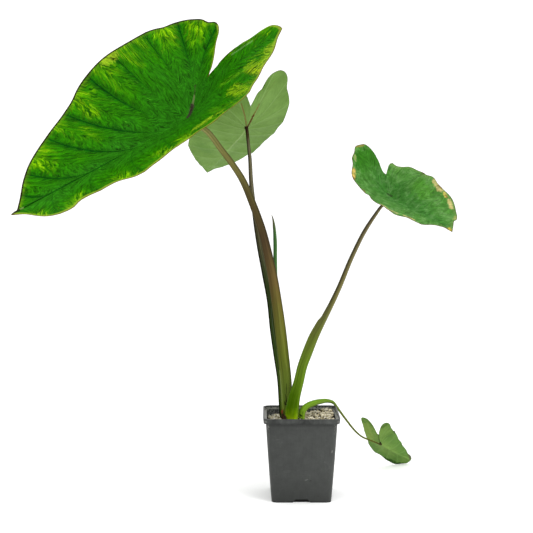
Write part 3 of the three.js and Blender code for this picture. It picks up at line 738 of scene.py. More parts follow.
def build_lights(scene, settings):
    surround = bpy.data.worlds.new("white_surround")
    surround.use_nodes = True
    background = surround.node_tree.nodes["Background"].inputs
    background["Color"].default_value = (1, 1, 1, 1)
    background["Strength"].default_value = settings.sky
    scene.world = surround
    for name, place, share in LAMPS:
        aim = (Vector(place) - LAMP_TARGET).to_track_quat("Z", "Y").to_euler()
        deselect_all()
        bpy.ops.object.light_add(type="AREA", radius=LAMP_SIZE, location=place, rotation=aim)
        named(name).data.energy = settings.key * share


def build_camera(scene, settings):
    place = (-settings.camera_left, -settings.camera_back, settings.camera_up)
    aim = (math.pi / 2 - settings.camera_pitch, 0, -settings.camera_yaw)
    deselect_all()
    bpy.ops.object.camera_add(location=place, rotation=aim)
    camera = named("studio_camera")
    camera.data.lens = settings.lens
    camera.data.clip_end = CLIP_END
    scene.camera = camera
    scene.view_settings.view_transform = "Standard"


# Pot, in millimetres. A speck of moulding flash is its side, its height and its radius.
LIP_TAPER = 1.2
CORNER_FACES = 8


def build_pot(settings):
    """Grows the pot from a rounded square: body, lip, ledge, inside and the recess under its floor."""
    size = {name: getattr(settings, name) / MM for name in (
        "rim_width", "height", "shoulder_width", "bottom_width", "side_bow", "lip_height", "lip_wall",
        "wall", "ledge_drop", "corner_radius", "floor_height", "floor_wall")}
    shoulder = size["height"] - size["lip_height"]

    def body_width(z):
        share = z / shoulder
        bow = size["side_bow"] * 4 * share * (1 - share)
        return size["bottom_width"] + (size["shoulder_width"] - size["bottom_width"]) * share + bow

    deselect_all()
    bpy.ops.mesh.primitive_plane_add(size=size["bottom_width"] * MM, location=(0, 0, 0))
    pot = named("grey_square_pot")
    with Editing(pot) as editor:
        bpy.ops.mesh.select_all(action="SELECT")
        bpy.ops.mesh.bevel(offset=size["corner_radius"] * MM, segments=CORNER_FACES, affect="VERTICES")

        def pull(from_width, to_width, from_z, to_z):
            bpy.ops.mesh.extrude_region_move(
                TRANSFORM_OT_translate={"value": (0, 0, (to_z - from_z) * MM)})
            scale = to_width / from_width
            bpy.ops.transform.resize(value=(scale, scale, 1), center_override=(0, 0, to_z * MM))

        heights = [shoulder * share for share in (0, 0.2, 0.4, 0.6, 0.8, 1)]
        for low, high in zip(heights, heights[1:]):
            pull(body_width(low), body_width(high), low, high)
        lip_foot = size["rim_width"] - LIP_TAPER
        pull(body_width(shoulder), lip_foot, shoulder, shoulder)
        pull(lip_foot, size["rim_width"], shoulder, size["height"])
        inside = size["rim_width"] - 2 * size["lip_wall"]
        ledge = size["height"] - size["ledge_drop"]
        pull(size["rim_width"], inside, size["height"], size["height"])
        pull(inside, inside, size["height"], ledge)
        floor_top = size["floor_height"] + size["floor_wall"]
        widths = [body_width(z) - 2 * size["wall"] for z in (ledge, shoulder / 2, floor_top)]
        pull(inside, widths[0], ledge, ledge)
        pull(widths[0], widths[1], ledge, shoulder / 2)
        pull(widths[1], widths[2], shoulder / 2, floor_top)
        editor.pick("faces", lambda face: face.normal.z < -0.9 and face.calc_center_median().z < 1e-5)
        bpy.ops.mesh.inset(thickness=size["wall"] * MM)
        bpy.ops.mesh.extrude_region_move(
            TRANSFORM_OT_translate={"value": (0, 0, size["floor_height"] * MM)})
        bpy.ops.mesh.select_all(action="SELECT")
        bpy.ops.mesh.normals_make_consistent(inside=False)
    return pot


FOOT_WIDTH = 13
FOOT_ROUND = 4
CENTRE_PAD_RADIUS = 10
PAD_SINK = 0.4
RIB_LENGTH = 28
RIB_WIDTH = 1.4
RIB_OFFSET = 31
NOTCH_CUT = 4
DRAIN_OFFSET = 20
MOULDING_NUBS = [(1, 47.3, 0.9), (-1, 29.6, 0.7)]


def quarter_turns():
    return [Matrix.Rotation(side * math.pi / 2, 4, "Z") for side in range(4)]


def add_feet(pot, settings):
    """Joins the corner feet, the middle pad and a low rib behind each notch to the floor's underside."""
    height = settings.floor_height + PAD_SINK * MM
    reach = (settings.bottom_width - settings.wall) / 2 - FOOT_WIDTH * MM / 2
    for x in (-reach, reach):
        for y in (-reach, reach):
            deselect_all()
            bpy.ops.mesh.primitive_cube_add(size=1, location=(x, y, height / 2),
                                            scale=(FOOT_WIDTH * MM, FOOT_WIDTH * MM, height))
            foot = named("foot")
            with Editing(foot) as editor:
                editor.pick("edges", lambda edge: abs(edge.verts[0].co.z - edge.verts[1].co.z) > height / 2)
                bpy.ops.mesh.bevel(offset=FOOT_ROUND * MM, segments=4)
            cut(pot, settle(foot), "UNION")
    deselect_all()
    bpy.ops.mesh.primitive_cylinder_add(vertices=32, radius=CENTRE_PAD_RADIUS * MM, depth=height,
                                        location=(0, 0, height / 2))
    cut(pot, settle(named("middle_pad")), "UNION")
    # The ribs are guessed. Painted black with the recess, they stand in for the shade seen through each
    # notch.
    for turn in quarter_turns():
        deselect_all()
        bpy.ops.mesh.primitive_cube_add(size=1, scale=(RIB_LENGTH * MM, RIB_WIDTH * MM, height))
        rib = settle(named("rib"))
        rib.matrix_world = turn @ Matrix.Translation((0, -RIB_OFFSET * MM, height / 2))
        cut(pot, settle(rib), "UNION")


def cut_openings(pot, settings):
    """Cuts the notch in the middle of each bottom edge, and the drain holes."""
    top_share = settings.notch_top / settings.notch_base
    depth = settings.wall * NOTCH_CUT
    below = 2 * MM
    for turn in quarter_turns():
        deselect_all()
        bpy.ops.mesh.primitive_cube_add(size=1, scale=(settings.notch_base, depth, settings.floor_height))
        notch = settle(named("notch"))
        with Editing(notch) as editor:
            editor.pick("faces", lambda face: face.normal.z > 0.9)
            bpy.ops.transform.resize(value=(top_share, 1, 1), center_override=(0, 0, 0))
            editor.pick("faces", lambda face: face.normal.z < -0.9)
            bpy.ops.mesh.extrude_region_move(TRANSFORM_OT_translate={"value": (0, 0, -below)})
        notch.matrix_world = turn @ Matrix.Translation(
            (0, -settings.bottom_width / 2, settings.floor_height / 2))
        cut(pot, settle(notch), "DIFFERENCE")
        deselect_all()
        bpy.ops.mesh.primitive_cylinder_add(vertices=24, radius=settings.drain_radius, depth=20 * MM)
        drain = named("drain")
        drain.matrix_world = turn @ Matrix.Translation((DRAIN_OFFSET * MM, 0, settings.floor_height))
        cut(pot, settle(drain), "DIFFERENCE")


def add_moulding_nubs(pot, settings):
    """Joins two specks of flash to the side walls, as on the real pot."""
    for side, z, radius in MOULDING_NUBS:
        share = z * MM / (settings.height - settings.lip_height)
        x = side * (settings.bottom_width + (settings.shoulder_width - settings.bottom_width) * share) / 2
        deselect_all()
        bpy.ops.mesh.primitive_ico_sphere_add(subdivisions=2, radius=radius * MM,
                                              location=(x, -settings.bottom_width * 0.3, z * MM),
                                              scale=(1, 0.8, 1.3))
        cut(pot, settle(named("nub")), "UNION")


# Painted shade by height on the pot: a dark contact shadow along the bottom edge, darker low down, a shadow
# band under the lip and a slightly darker lip.
POT_PAINTED_SHADE_LEVELS = levels(
    (0, 0.34), (0.01, 0.4), (0.02, 0.79), (0.14, 0.85), (0.4, 1.0), (0.75, 1.0), (0.9, 0.94),
    (0.93, 0.68), (0.945, 0.6), (0.955, 0.83))
POT_MARKS = [
    ((32, 57), (33, 64), 1.2, (60, 60, 58), 0.8), ((35, 60), (35.5, 62), 0.8, (124, 124, 118), 0.6),
    ((25, 34), (29, 35), 3.5, (60, 62, 60), 0.45), ((-2, 60), (-1, 64), 3, (66, 68, 66), 0.4),
    ((9.5, 26), (11, 26.6), 0.8, (40, 40, 38), 0.8), ((4, 27), (7, 28), 0.9, (98, 100, 96), 0.5),
    ((19, 8), (20, 8), 0.9, (44, 44, 42), 0.7), ((-20, 37), (-14, 38), 2.2, (68, 70, 68), 0.35)]


def moulded_plastic(settings):
    """Grey plastic with dust, scratches and marks, painted shade in bands under the lip and at the bottom,
    and painted light on the right side.
    """
    finish = Finish("moulded_grey_plastic", roughness=0.5, gloss=0.2)
    place = finish.place()
    x, y, z = finish.split(place)
    cloud = finish.noise(place, scale=0.05, detail=4)
    drag = finish.noise(finish.join(x * 0.9, y * 0.9, z * 0.05), scale=1.0, detail=3)
    dust = finish.between(finish.noise(place, scale=0.35, detail=6, roughness=0.7), 0.55, 0.8)
    scratch = finish.noise(finish.join(x * 0.12, y, z * 1.6), scale=1.0, detail=5)
    wear = dust * 0.5 + finish.between(scratch, 0.62, 0.72) * 0.45
    wear = wear * finish.between(cloud, 0.4, 0.7)
    tint = finish.mix(wear, settings.plastic, settings.scuff)
    tint = finish.scaled(tint, 0.76 + (cloud + drag) * 0.24)
    # Painted shade by height, and painted light that makes the right side brighter, where the key light
    # falls.
    tint = finish.scaled(tint, finish.ramp(z * 0.01, POT_PAINTED_SHADE_LEVELS) * (1.05 + x * 0.0032))
    blotch = finish.noise(place, scale=0.12, detail=5, roughness=0.65) - 0.5
    on_lip = finish.between(z, 92.0, 94.5)
    tint = finish.scaled(tint, 1.0 + blotch * (0.6 + on_lip * 2.6))
    tint = add_marks(finish, tint, finish.join(x, z), POT_MARKS)
    tint = add_inner_shade_and_dust(finish, tint, place)
    height = finish.noise(place, scale=2.2, detail=3) * 0.4 + drag * 0.6
    return finish.done(tint, height, depth=0.12, roughness=0.42 + wear * 0.3)


# Where the inside of the pot's wall is, for its painted shade and dust: across at the surface, and its lean
# outward
WALL_FOOT = 35.2
WALL_LEAN = 0.0725
ROUND_SQUARE = 16
PALE_STEP_HEIGHT = 97.0


def add_inner_shade_and_dust(finish, tint, place):
    """Painted shade with dust specks inside the pot above the grit, pale specks on the step there, and black
    painted shade in the recess below.
    """
    x, y, z = finish.split(place)
    across = (abs(x) ** ROUND_SQUARE + abs(y) ** ROUND_SQUARE) ** (1 / ROUND_SQUARE)
    wall_inside = finish.between(WALL_FOOT + z * WALL_LEAN - across, 0.5, 0.9)
    lip_inside = finish.between(across, 44.3, 43.6) * finish.between(z, 94.6, 95.6)
    inside = finish.math("MAXIMUM", wall_inside, lip_inside) * finish.between(z, 70.0, 85.0)
    speck = finish.noise(place, scale=0.55, detail=5, roughness=0.7)
    # The inside wall is painted dark as shade, with pale specks of dust.
    shade_and_dust = finish.mix(finish.between(speck, 0.44, 0.62), srgb(26, 27, 24), srgb(116, 118, 112))
    # A pale speckled band along the step inside the lip.
    ledge = finish.between(abs(z - PALE_STEP_HEIGHT), 1.2, 0.5) * finish.between(speck, 0.38, 0.52)
    shade_and_dust = finish.mix(ledge, shade_and_dust, srgb(150, 150, 142))
    tint = finish.mix(inside * 0.75, tint, shade_and_dust)
    # Black painted shade under the floor, on the feet and the ribs, seen through the notches.
    beneath = finish.between(z, 4.4, 4.0) * finish.between(across, 33.6, 33.2)
    return finish.mix(beneath, tint, srgb(4, 4, 4))


class ELEPHANTEAR_OT_pot(bpy.types.Operator):
    """Build the square pot with its lip, ledge, notches, feet and drain holes"""
    bl_idname = "elephantear.pot"
    bl_label = "Square pot"

    def execute(self, context):
        settings = context.scene.elephantear_pot
        pot = build_pot(settings)
        add_feet(pot, settings)
        cut_openings(pot, settings)
        add_moulding_nubs(pot, settings)
        apply_modifier(pot, "BEVEL", width=settings.edge_round, segments=2, limit_method="ANGLE",
                       angle_limit=math.radians(50))
        smooth(pot)
        finish_piece(pot, ["nursery_pot"], [moulded_plastic(settings)])
        return {"FINISHED"}


# Fill. A stem's base is its middle and its radius, in millimetres, which the grains leave clear.
GRIT_LEVEL = 91.6
GRIT_SLOPE = 0.085
GRIT_REACH = 39
GRIT_SEED = 7
BED_FACES = 60
BED_SINK = 2.0
BED_DEPTH = 2.5
GRAIN_SHAPES = 8
SMALLEST_GRAIN = 0.5
LARGEST_GRAIN = 1.3
LOWEST_GRAIN = -1.5
HIGHEST_GRAIN = 0.5
CORNER_MIDDLE = 33
CORNER_REACH = 5.6
PALE_PART = -6
PALE_TONE = 0.16
STEM_BASES = [(-16.3, 6.6, 6.4), (-21.5, 15.4, 2.8), (-11, -7.5, 6.9), (1.7, -1, 3), (-14.4, 17.3, 2.4)]


def grit_height(x, y):
    """The uneven level of the grit, in millimetres. It is heaped at the back on the right."""
    swell = 0.5 * np.sin(0.21 * x + 1.1) * np.cos(0.17 * y) + 0.35 * np.sin(0.43 * y + 0.3 * x)
    heap = 3.0 * ease((x - 8) / 26) * ease((y + 30) / 55)
    return GRIT_LEVEL + GRIT_SLOPE * x + swell + heap


def chipped_grain(index, width):
    """One crushed grain: a coarse ball, knocked out of round and cut flat on one side."""
    deselect_all()
    bpy.ops.mesh.primitive_ico_sphere_add(subdivisions=1, radius=width / 2 * MM)
    grain = named(f"grain_{index}")
    with Editing(grain):
        bpy.ops.mesh.select_all(action="SELECT")
        bpy.ops.transform.vertex_random(offset=width * 0.16 * MM, seed=index + 1)
        bpy.ops.transform.resize(value=(1.15, 0.95, 0.78))
    return grain


def build_grit(settings):
    width = settings.grain_size / MM
    shapes = []
    for index in range(GRAIN_SHAPES):
        grain = chipped_grain(index, width)
        shapes.append((np.array([vertex.co for vertex in grain.data.vertices]) / MM,
                       np.array([face.vertices for face in grain.data.polygons])))
        bpy.data.objects.remove(grain)
    bed = sheet_of_faces("loose_grit", BED_FACES, BED_FACES)
    line = np.linspace(-GRIT_REACH, GRIT_REACH, BED_FACES + 1)
    x, y = np.meshgrid(line, line)
    set_places(bed, np.stack([x, y, grit_height(x, y) - BED_SINK], axis=-1))
    with Editing(bed):
        bpy.ops.mesh.select_all(action="SELECT")
        bpy.ops.mesh.extrude_region_move(TRANSFORM_OT_translate={"value": (0, 0, -BED_DEPTH * MM)})
        bpy.ops.mesh.normals_make_consistent(inside=False)
    chance = np.random.default_rng(GRIT_SEED)
    places, faces, tones = scatter_grains(shapes, settings.grains, chance)
    scattered = bpy.data.meshes.new("grains")
    scattered.from_pydata((places * MM).tolist(), [], faces.tolist())
    grains = bpy.data.objects.new("grains", scattered)
    bpy.context.scene.collection.objects.link(grains)
    add_attribute(grains, "grain_tone", *tones.T)
    # The bed is marked to take the near-black colour: damp soil and painted shade between the grains.
    add_attribute(bed, "grain_tone", np.zeros(len(bed.data.vertices)), 0, 1)
    take_up(bed)
    grains.select_set(True)
    bpy.ops.object.join()
    return bed


def scatter_grains(shapes, count, chance):
    """Corners, faces and tones (tone, warmth, soil and gap shade) of grains strewn over the bed, clear of the
    stems. The tone is partly painted shade, darker for lower grains.
    """
    places, faces, tones = [], [], []
    start = 0
    while len(places) < count:
        x, y = chance.uniform(-GRIT_REACH, GRIT_REACH, 2)
        inside_stem = any(math.hypot(x - sx, y - sy) < radius for sx, sy, radius in STEM_BASES)
        off_corner = math.hypot(max(abs(x) - CORNER_MIDDLE, 0), max(abs(y) - CORNER_MIDDLE, 0))
        if inside_stem or off_corner > CORNER_REACH:
            continue
        corners, sides = shapes[chance.integers(len(shapes))]
        turn = Quaternion(chance.normal(size=4)).normalized().to_matrix()
        grain = corners @ np.array(turn) * chance.uniform(SMALLEST_GRAIN, LARGEST_GRAIN)
        rise = chance.uniform(LOWEST_GRAIN, HIGHEST_GRAIN)
        places.append(grain + (x, y, float(grit_height(x, y)) + rise))
        faces.append(sides + start)
        # Lower grains, down in the gaps, get a darker tone and higher ones a paler one: painted light and
        # shade by height.
        height_share = (rise - LOWEST_GRAIN) / (HIGHEST_GRAIN - LOWEST_GRAIN)
        tone = 0.45 * chance.random() + 0.55 * height_share + PALE_TONE * (x < PALE_PART)
        tones.append(np.tile((tone, chance.random(), 0), (len(grain), 1)))
        start += len(grain)
    return np.concatenate(places), np.concatenate(faces), np.concatenate(tones)


def crushed_grit(settings):
    finish = Finish("crushed_pale_grit", roughness=0.85, gloss=0.2)
    tone, warmth, soil_and_gap_shade = finish.attribute("grain_tone")
    place = finish.place()
    fleck = finish.noise(place, scale=1.3, detail=4)
    tint = finish.ramp(tone * 0.85 + fleck * 0.2, [
        (0.05, srgb(44, 38, 28)), (0.3, settings.shadow), (0.55, settings.warm), (0.85, settings.pale),
        (1.0, srgb(250, 248, 238))])
    tint = finish.mix(warmth * 0.25, tint, settings.warm)
    mud = finish.noise(place, scale=0.8, detail=5)
    # Near black between the grains: damp soil and painted shade in the gaps.
    damp = finish.mix(mud, srgb(10, 9, 6), settings.soil_and_gap_shade)
    return finish.done(finish.mix(soil_and_gap_shade, tint, damp), fleck, depth=0.25)


def damp_mix(settings):
    finish = Finish("damp_potting_mix", roughness=0.95, gloss=0.15)
    place = finish.place()
    crumb = finish.noise(place, scale=0.5, detail=8, roughness=0.75)
    fibre = finish.noise(place, scale=1.4, detail=3, distortion=2.5)
    tint = finish.mix(finish.between(fibre, 0.55, 0.75), settings.soil_and_gap_shade, srgb(96, 70, 44))
    return finish.done(finish.scaled(tint, 0.5 + crumb), crumb, depth=1.2)


def corky_corm():
    finish = Finish("corky_corm", roughness=0.8, gloss=0.2)
    place = finish.place()
    _, _, z = finish.split(place)
    ring = finish.math("SINE", z * 1.6 + finish.noise(place, scale=0.1) * 5)
    fibre = finish.noise(place, scale=0.6, detail=6, roughness=0.7)
    tint = finish.mix(fibre, srgb(70, 42, 24), srgb(142, 100, 60))
    return finish.done(finish.scaled(tint, 0.9 + ring * 0.12), fibre, depth=0.6)


class ELEPHANTEAR_OT_fill(bpy.types.Operator):
    """Strew the grit, and finish the potting mix and the corm inside it"""
    bl_idname = "elephantear.fill"
    bl_label = "Grit, mix and corm"

    def execute(self, context):
        settings = context.scene.elephantear_grit
        grit = build_grit(settings)
        finish_piece(grit, ["grit_top_dressing"], [crushed_grit(settings)])
        for node, material in (("potting_mix", damp_mix(settings)), ("corm", corky_corm())):
            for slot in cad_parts[node].material_slots:
                slot.material = material
        return {"FINISHED"}


# Stems
STEM_RIDGES = 9


def build_stem(name, points, settings, outline=None):
    """A tube along a route. outline(share, angle) swells or pinches its section."""
    step = settings.ring_step / MM
    route, along = smooth_route(points, step)
    cap = route[-1:] * [1, 1, 1, 0, 0]
    foot = route[:1] * [1, 1, 1, 0, 0]
    route = np.concatenate([foot, route, cap])
    along = np.concatenate([along[:1], along, along[-1:]])
    sides = settings.sides
    stem = sheet_of_faces(name, len(route) - 1, sides)
    angle = np.linspace(0, 2 * math.pi, sides + 1)
    side = Vector((1, 0, 0))
    rings = []
    centres = route[:, :3]
    for index, (x, y, z, half_width, half_depth) in enumerate(route):
        ahead = centres[min(index + 1, len(route) - 2)]
        behind = centres[max(index - 1, 1)]
        tangent = Vector(ahead - behind).normalized()
        side = (side - tangent * side.dot(tangent)).normalized()
        across = tangent.cross(side)
        swell = np.ones(sides + 1) if outline is None else outline(along[index] / along[-1], angle)
        swell = swell + settings.ridge / MM * np.sin(angle * STEM_RIDGES) / max(half_width, 1.0)
        swell[-1] = swell[0]
        rings.append(np.array([x, y, z])
                     + np.outer(half_width * np.cos(angle) * swell, side)
                     + np.outer(half_depth * np.sin(angle) * swell, across))
    set_places(stem, np.array(rings))
    add_attribute(stem, "stem_round", np.cos(angle), np.sin(angle), along[:, None])
    add_attribute(stem, "stem_share", along[:, None] / along[-1], np.zeros(sides + 1), 0)
    weld(stem)
    smooth(stem)
    return stem


def led_up(points, surface, radius):
    """The stem's points, with the two that lead it up under its blade's junction."""
    centre, _, up = surface.axes(np.array([0.0]))
    drops = (HALF_BLADE + STEM_LEAD * radius, HALF_BLADE + STEM_GAP)
    return [*points, *[(*(centre[0] - up[0] * drop), radius, radius) for drop in drops]]


def sheathed(share, angle):
    """Two raised edges and a groove along the back, where the new leaf comes out."""
    low = 1 - ease((share - 0.35) / 0.2)
    off = np.abs((angle - math.pi / 2 + math.pi) % (2 * math.pi) - math.pi)
    groove = 0.3 * np.exp(-(off / 0.38) ** 2)
    wings = 0.26 * np.exp(-((off - 0.75) / 0.2) ** 2)
    return 1 + low * (wings - groove)


def shouldered(share, angle):
    """The edge of the sheath, which ends in a shoulder on the stem's left."""
    off = np.abs((angle - math.pi + math.pi) % (2 * math.pi) - math.pi)
    top = ease((0.455 - share) / 0.02) * 0.38
    wide = np.exp(-(off / 0.75) ** 2)
    return 1 + top * wide * ease((share - 0.2) / 0.2)


# Painted light and shade across each stem, from its left edge to its right, low down and high up: darker
# edges and a lit side.
MAIN_LOW_SHADING = levels(
    (0, 0.4), (0.12, 0.6), (0.25, 0.56), (0.42, 0.64), (0.55, 0.82), (0.66, 0.94), (0.78, 0.86),
    (0.88, 0.64), (0.95, 0.42), (1, 0.26))
MAIN_HIGH_SHADING = levels((0, 0.3), (0.14, 0.44), (0.3, 0.57), (0.5, 0.5), (0.7, 0.54), (0.85, 0.36), (1, 0.24))
BACK_SHADING = levels(
    (0, 0.04), (0.16, 0.08), (0.26, 0.52), (0.54, 0.58), (0.62, 1.0), (0.76, 1.0), (0.84, 0.5), (1, 0.4))
RIGHT_LOW_SHADING = levels((0, 0.72), (0.3, 0.56), (0.6, 0.72), (0.82, 1.0), (1, 0.86))
RIGHT_HIGH_SHADING = levels((0, 0.22), (0.28, 0.34), (0.5, 0.66), (0.78, 1.0), (1, 0.9))
SOFT_SHADING = levels((0, 0.6), (0.3, 0.72), (0.7, 0.82), (1, 0.7))
BRIGHTEST_PAINTED_LIGHT = 1.45


def stem_finish(name, along_stops, low, high, streak, marks=()):
    """Colours that run along a stem, lengthways streaks, and painted light and shade across it, low down and
    high up.
    """
    finish = Finish(name, roughness=0.5, gloss=0.015)
    turn_x, turn_y, run = finish.attribute("stem_round")
    share, _, _ = finish.attribute("stem_share")
    fibres = finish.join(turn_x * 4.5, turn_y * 4.5, run * 0.02)
    fine = finish.noise(fibres, scale=1.0, detail=4, roughness=0.6)
    broad = finish.noise(finish.join(turn_x * 1.6, turn_y * 1.6, run * 0.012), scale=1.0, detail=2)
    blot = finish.noise(finish.place(), scale=0.12, detail=3)
    tint = finish.ramp(share + (blot - 0.5) * 0.05, along_stops)
    tint = finish.mix(finish.between(broad, 0.5, 0.75) * 0.4, tint, streak)
    tint = finish.scaled(tint, 0.25 + fine * 1.5)
    # Painted light and shade: each side of the stem darker or lighter by how the light falls.
    across = turn_x * 0.5 + 0.5
    level = finish.mix(finish.between(share, 0.42, 0.58), finish.ramp(across, low), finish.ramp(across, high))
    tint = finish.scaled(tint, level * BRIGHTEST_PAINTED_LIGHT)
    x, _, z = finish.split(finish.place())
    tint = add_marks(finish, tint, finish.join(x, z), marks)
    return finish.done(tint, fine, depth=0.25)


MAIN_STEM_MARKS = [
    ((-18, 121), (-17, 112), 0.9, (14, 14, 8), 0.9), ((-19, 112), (-18, 109), 1.3, (18, 16, 8), 0.9),
    ((-17, 134), (-17, 122), 0.6, (34, 40, 14), 0.7), ((-25.3, 149), (-21.8, 113), 1.2, (112, 128, 62), 0.65),
    ((-21.8, 113), (-20.4, 97), 1.5, (108, 128, 52), 0.7)]
# The first two marks are painted shade, the dark gap at the foot of the stem just above the grit.
DROOPING_STEM_MARKS_AND_SHADE = [
    ((-1, 97.5), (0.5, 96), 1.3, (16, 12, 8), 0.95), ((-0.5, 93), (1, 92), 1.2, (16, 12, 8), 0.9),
    ((1.8, 92), (2.4, 101), 0.6, (64, 84, 20), 0.7)]


MAIN_STEM_STOPS = colours(
    (0.0, 92, 114, 30), (0.1, 86, 104, 36), (0.2, 84, 94, 30), (0.31, 92, 92, 36), (0.42, 90, 75, 40),
    (0.56, 82, 66, 44), (0.7, 92, 82, 48), (0.84, 136, 130, 74), (1.0, 170, 170, 106))
BACK_STEM_STOPS = colours(
    (0.0, 76, 106, 22), (0.1, 70, 94, 26), (0.26, 52, 72, 24), (0.46, 50, 64, 28), (0.56, 66, 68, 46),
    (0.68, 74, 68, 46), (0.84, 94, 88, 66), (0.93, 90, 86, 62), (0.97, 58, 46, 16), (1.0, 38, 12, 10))
RIGHT_STEM_STOPS = colours(
    (0.0, 168, 192, 24), (0.032, 148, 176, 16), (0.055, 96, 132, 4), (0.08, 64, 98, 0), (0.11, 60, 92, 0),
    (0.2, 80, 108, 20), (0.3, 86, 106, 32), (0.38, 86, 94, 38), (0.47, 92, 92, 52), (0.56, 100, 94, 56),
    (0.75, 104, 96, 66), (0.92, 104, 94, 70), (1.0, 88, 74, 56))
DROOPING_STEM_STOPS = colours(
    (0.0, 128, 166, 40), (0.14, 104, 144, 34), (0.3, 94, 126, 34), (0.5, 98, 108, 46), (0.8, 86, 92, 32),
    (0.93, 74, 70, 26), (1.0, 28, 16, 14))


class ELEPHANTEAR_OT_leaf_stems(bpy.types.Operator):
    """Build the four leaf stems, with their sheaths and their run of colours"""
    bl_idname = "elephantear.leaf_stems"
    bl_label = "Leaf stems"

    def execute(self, context):
        settings = context.scene.elephantear_stem
        rows = [
            ("main_leaf_stem", MAIN_STEM, MAIN_LEAF, 3, sheathed, "stem_main", "leaf_1_stem",
             MAIN_STEM_STOPS, MAIN_LOW_SHADING, MAIN_HIGH_SHADING, srgb(116, 120, 60), MAIN_STEM_MARKS),
            ("back_leaf_stem", BACK_STEM, BACK_LEAF, 1.9, None, "stem_dark", "leaf_2_stem",
             BACK_STEM_STOPS, BACK_SHADING, BACK_SHADING, srgb(110, 120, 104), ()),
            ("right_leaf_stem", RIGHT_STEM, RIGHT_LEAF, 1.5, shouldered, "stem_green", "leaf_3_stem",
             RIGHT_STEM_STOPS, RIGHT_LOW_SHADING, RIGHT_HIGH_SHADING, srgb(104, 124, 44), ()),
            ("drooping_leaf_stem", DROOPING_STEM, DROOPING_LEAF, 0.9, None, "stem_light", "leaf_4_stem",
             DROOPING_STEM_STOPS, SOFT_SHADING, SOFT_SHADING, srgb(134, 156, 70), DROOPING_STEM_MARKS_AND_SHADE),
        ]
        for name, points, leaf, radius, outline, slot, node, *finish in rows:
            stem = build_stem(name, led_up(points, BladeSurface(leaf), radius), settings, outline)
            finish_piece(stem, [node], [stem_finish(name, *finish)])
        return {"FINISHED"}


# New leaf
SPIKE_TURNS = 1.35
SPIKE_START = -0.9
SPIKE_TIGHTENING = 0.32
SPIKE_TWIST = 0.5
SPIKE_SHEET = 0.35
SPIKE_STEP = 2
SPIKE_COLUMNS = 44


def build_spike():
    """The new leaf, still rolled: a sheet wound on itself and drawn out to a point."""
    route, along = smooth_route(NEW_LEAF_SPIKE, SPIKE_STEP)
    share = along / along[-1]
    spike = sheet_of_faces("rolled_new_leaf", len(route) - 1, SPIKE_COLUMNS)
    wound = np.linspace(0, 1, SPIKE_COLUMNS + 1)
    start = wound * 2 * math.pi * SPIKE_TURNS + SPIKE_START
    side = Vector((1, 0, 0))
    rings = []
    for index, (x, y, z, half_width, _) in enumerate(route):
        ahead = route[min(index + 1, len(route) - 1), :3]
        behind = route[max(index - 1, 0), :3]
        tangent = Vector(ahead - behind).normalized()
        side = (side - tangent * side.dot(tangent)).normalized()
        across = tangent.cross(side)
        radius = half_width * (1 - SPIKE_TIGHTENING * (1 - wound))
        angle = start + SPIKE_TWIST * share[index]
        rings.append(np.array([x, y, z]) + np.outer(radius * np.cos(angle), side)
                     + np.outer(radius * np.sin(angle), across))
    set_places(spike, np.array(rings))
    add_attribute(spike, "spike", share[:, None], wound, 0)
    apply_modifier(spike, "SOLIDIFY", thickness=SPIKE_SHEET * MM, offset=-1.0)
    smooth(spike)
    return spike


def rolled_leaf_finish():
    finish = Finish("rolled_new_leaf", roughness=0.45, gloss=0.06)
    share, wound, _ = finish.attribute("spike")
    streak = finish.noise(finish.join(share * 6, wound * 30), scale=1.0, detail=4)
    tint = finish.ramp(share, colours(
        (0.0, 90, 124, 66), (0.35, 48, 96, 36), (0.78, 46, 84, 36), (0.9, 70, 66, 40), (1.0, 70, 50, 36)))
    tint = finish.mix(finish.between(wound, 0.55, 0.75) * 0.35, tint, srgb(104, 140, 84))
    return finish.done(finish.scaled(tint, 0.7 + streak * 0.6), streak, depth=0.2)


class ELEPHANTEAR_OT_new_leaf(bpy.types.Operator):
    """Build the new leaf, rolled into a spike, on its stalk"""
    bl_idname = "elephantear.new_leaf"
    bl_label = "New leaf"

    def execute(self, context):
        settings = context.scene.elephantear_stem
        stalk = build_stem("new_leaf_stalk", NEW_LEAF_STALK, settings)
        stops = colours((0.0, 120, 160, 70), (0.6, 84, 130, 60), (1.0, 60, 116, 52))
        green = stem_finish("new_leaf_stalk", stops, SOFT_SHADING, SOFT_SHADING, srgb(130, 160, 90))
        finish_piece(stalk, ["new_leaf_stem"], [green])
        finish_piece(build_spike(), ["new_leaf_roll"], [rolled_leaf_finish()])
        return {"FINISHED"}


# Dry sheaths. Each is its name, its node, the stem's middle, where it starts and ends around the stem in
# degrees, its radius, the height of its foot, the heights along its top, and its light and dark colours.
SHEATH_SHEET = 0.3
SHEATH_ROWS = 14
SHEATH_COLUMNS = 36
ROTTEN_BELOW = 101.5
SHEATHS = [
    ("papery_sheath_outer", "dry_sheath_outer", (-16.4, 6.4), 210, 238, 7.6, 84, (97, 101, 104.5, 100, 96),
     srgb(188, 104, 50), srgb(92, 48, 22)),
    ("papery_sheath_inner", "dry_sheath_inner", (-10.6, -7.4), 168, 236, 8.7, 84, (96.5, 98, 97, 95, 94),
     srgb(120, 70, 40), srgb(48, 26, 18)),
]


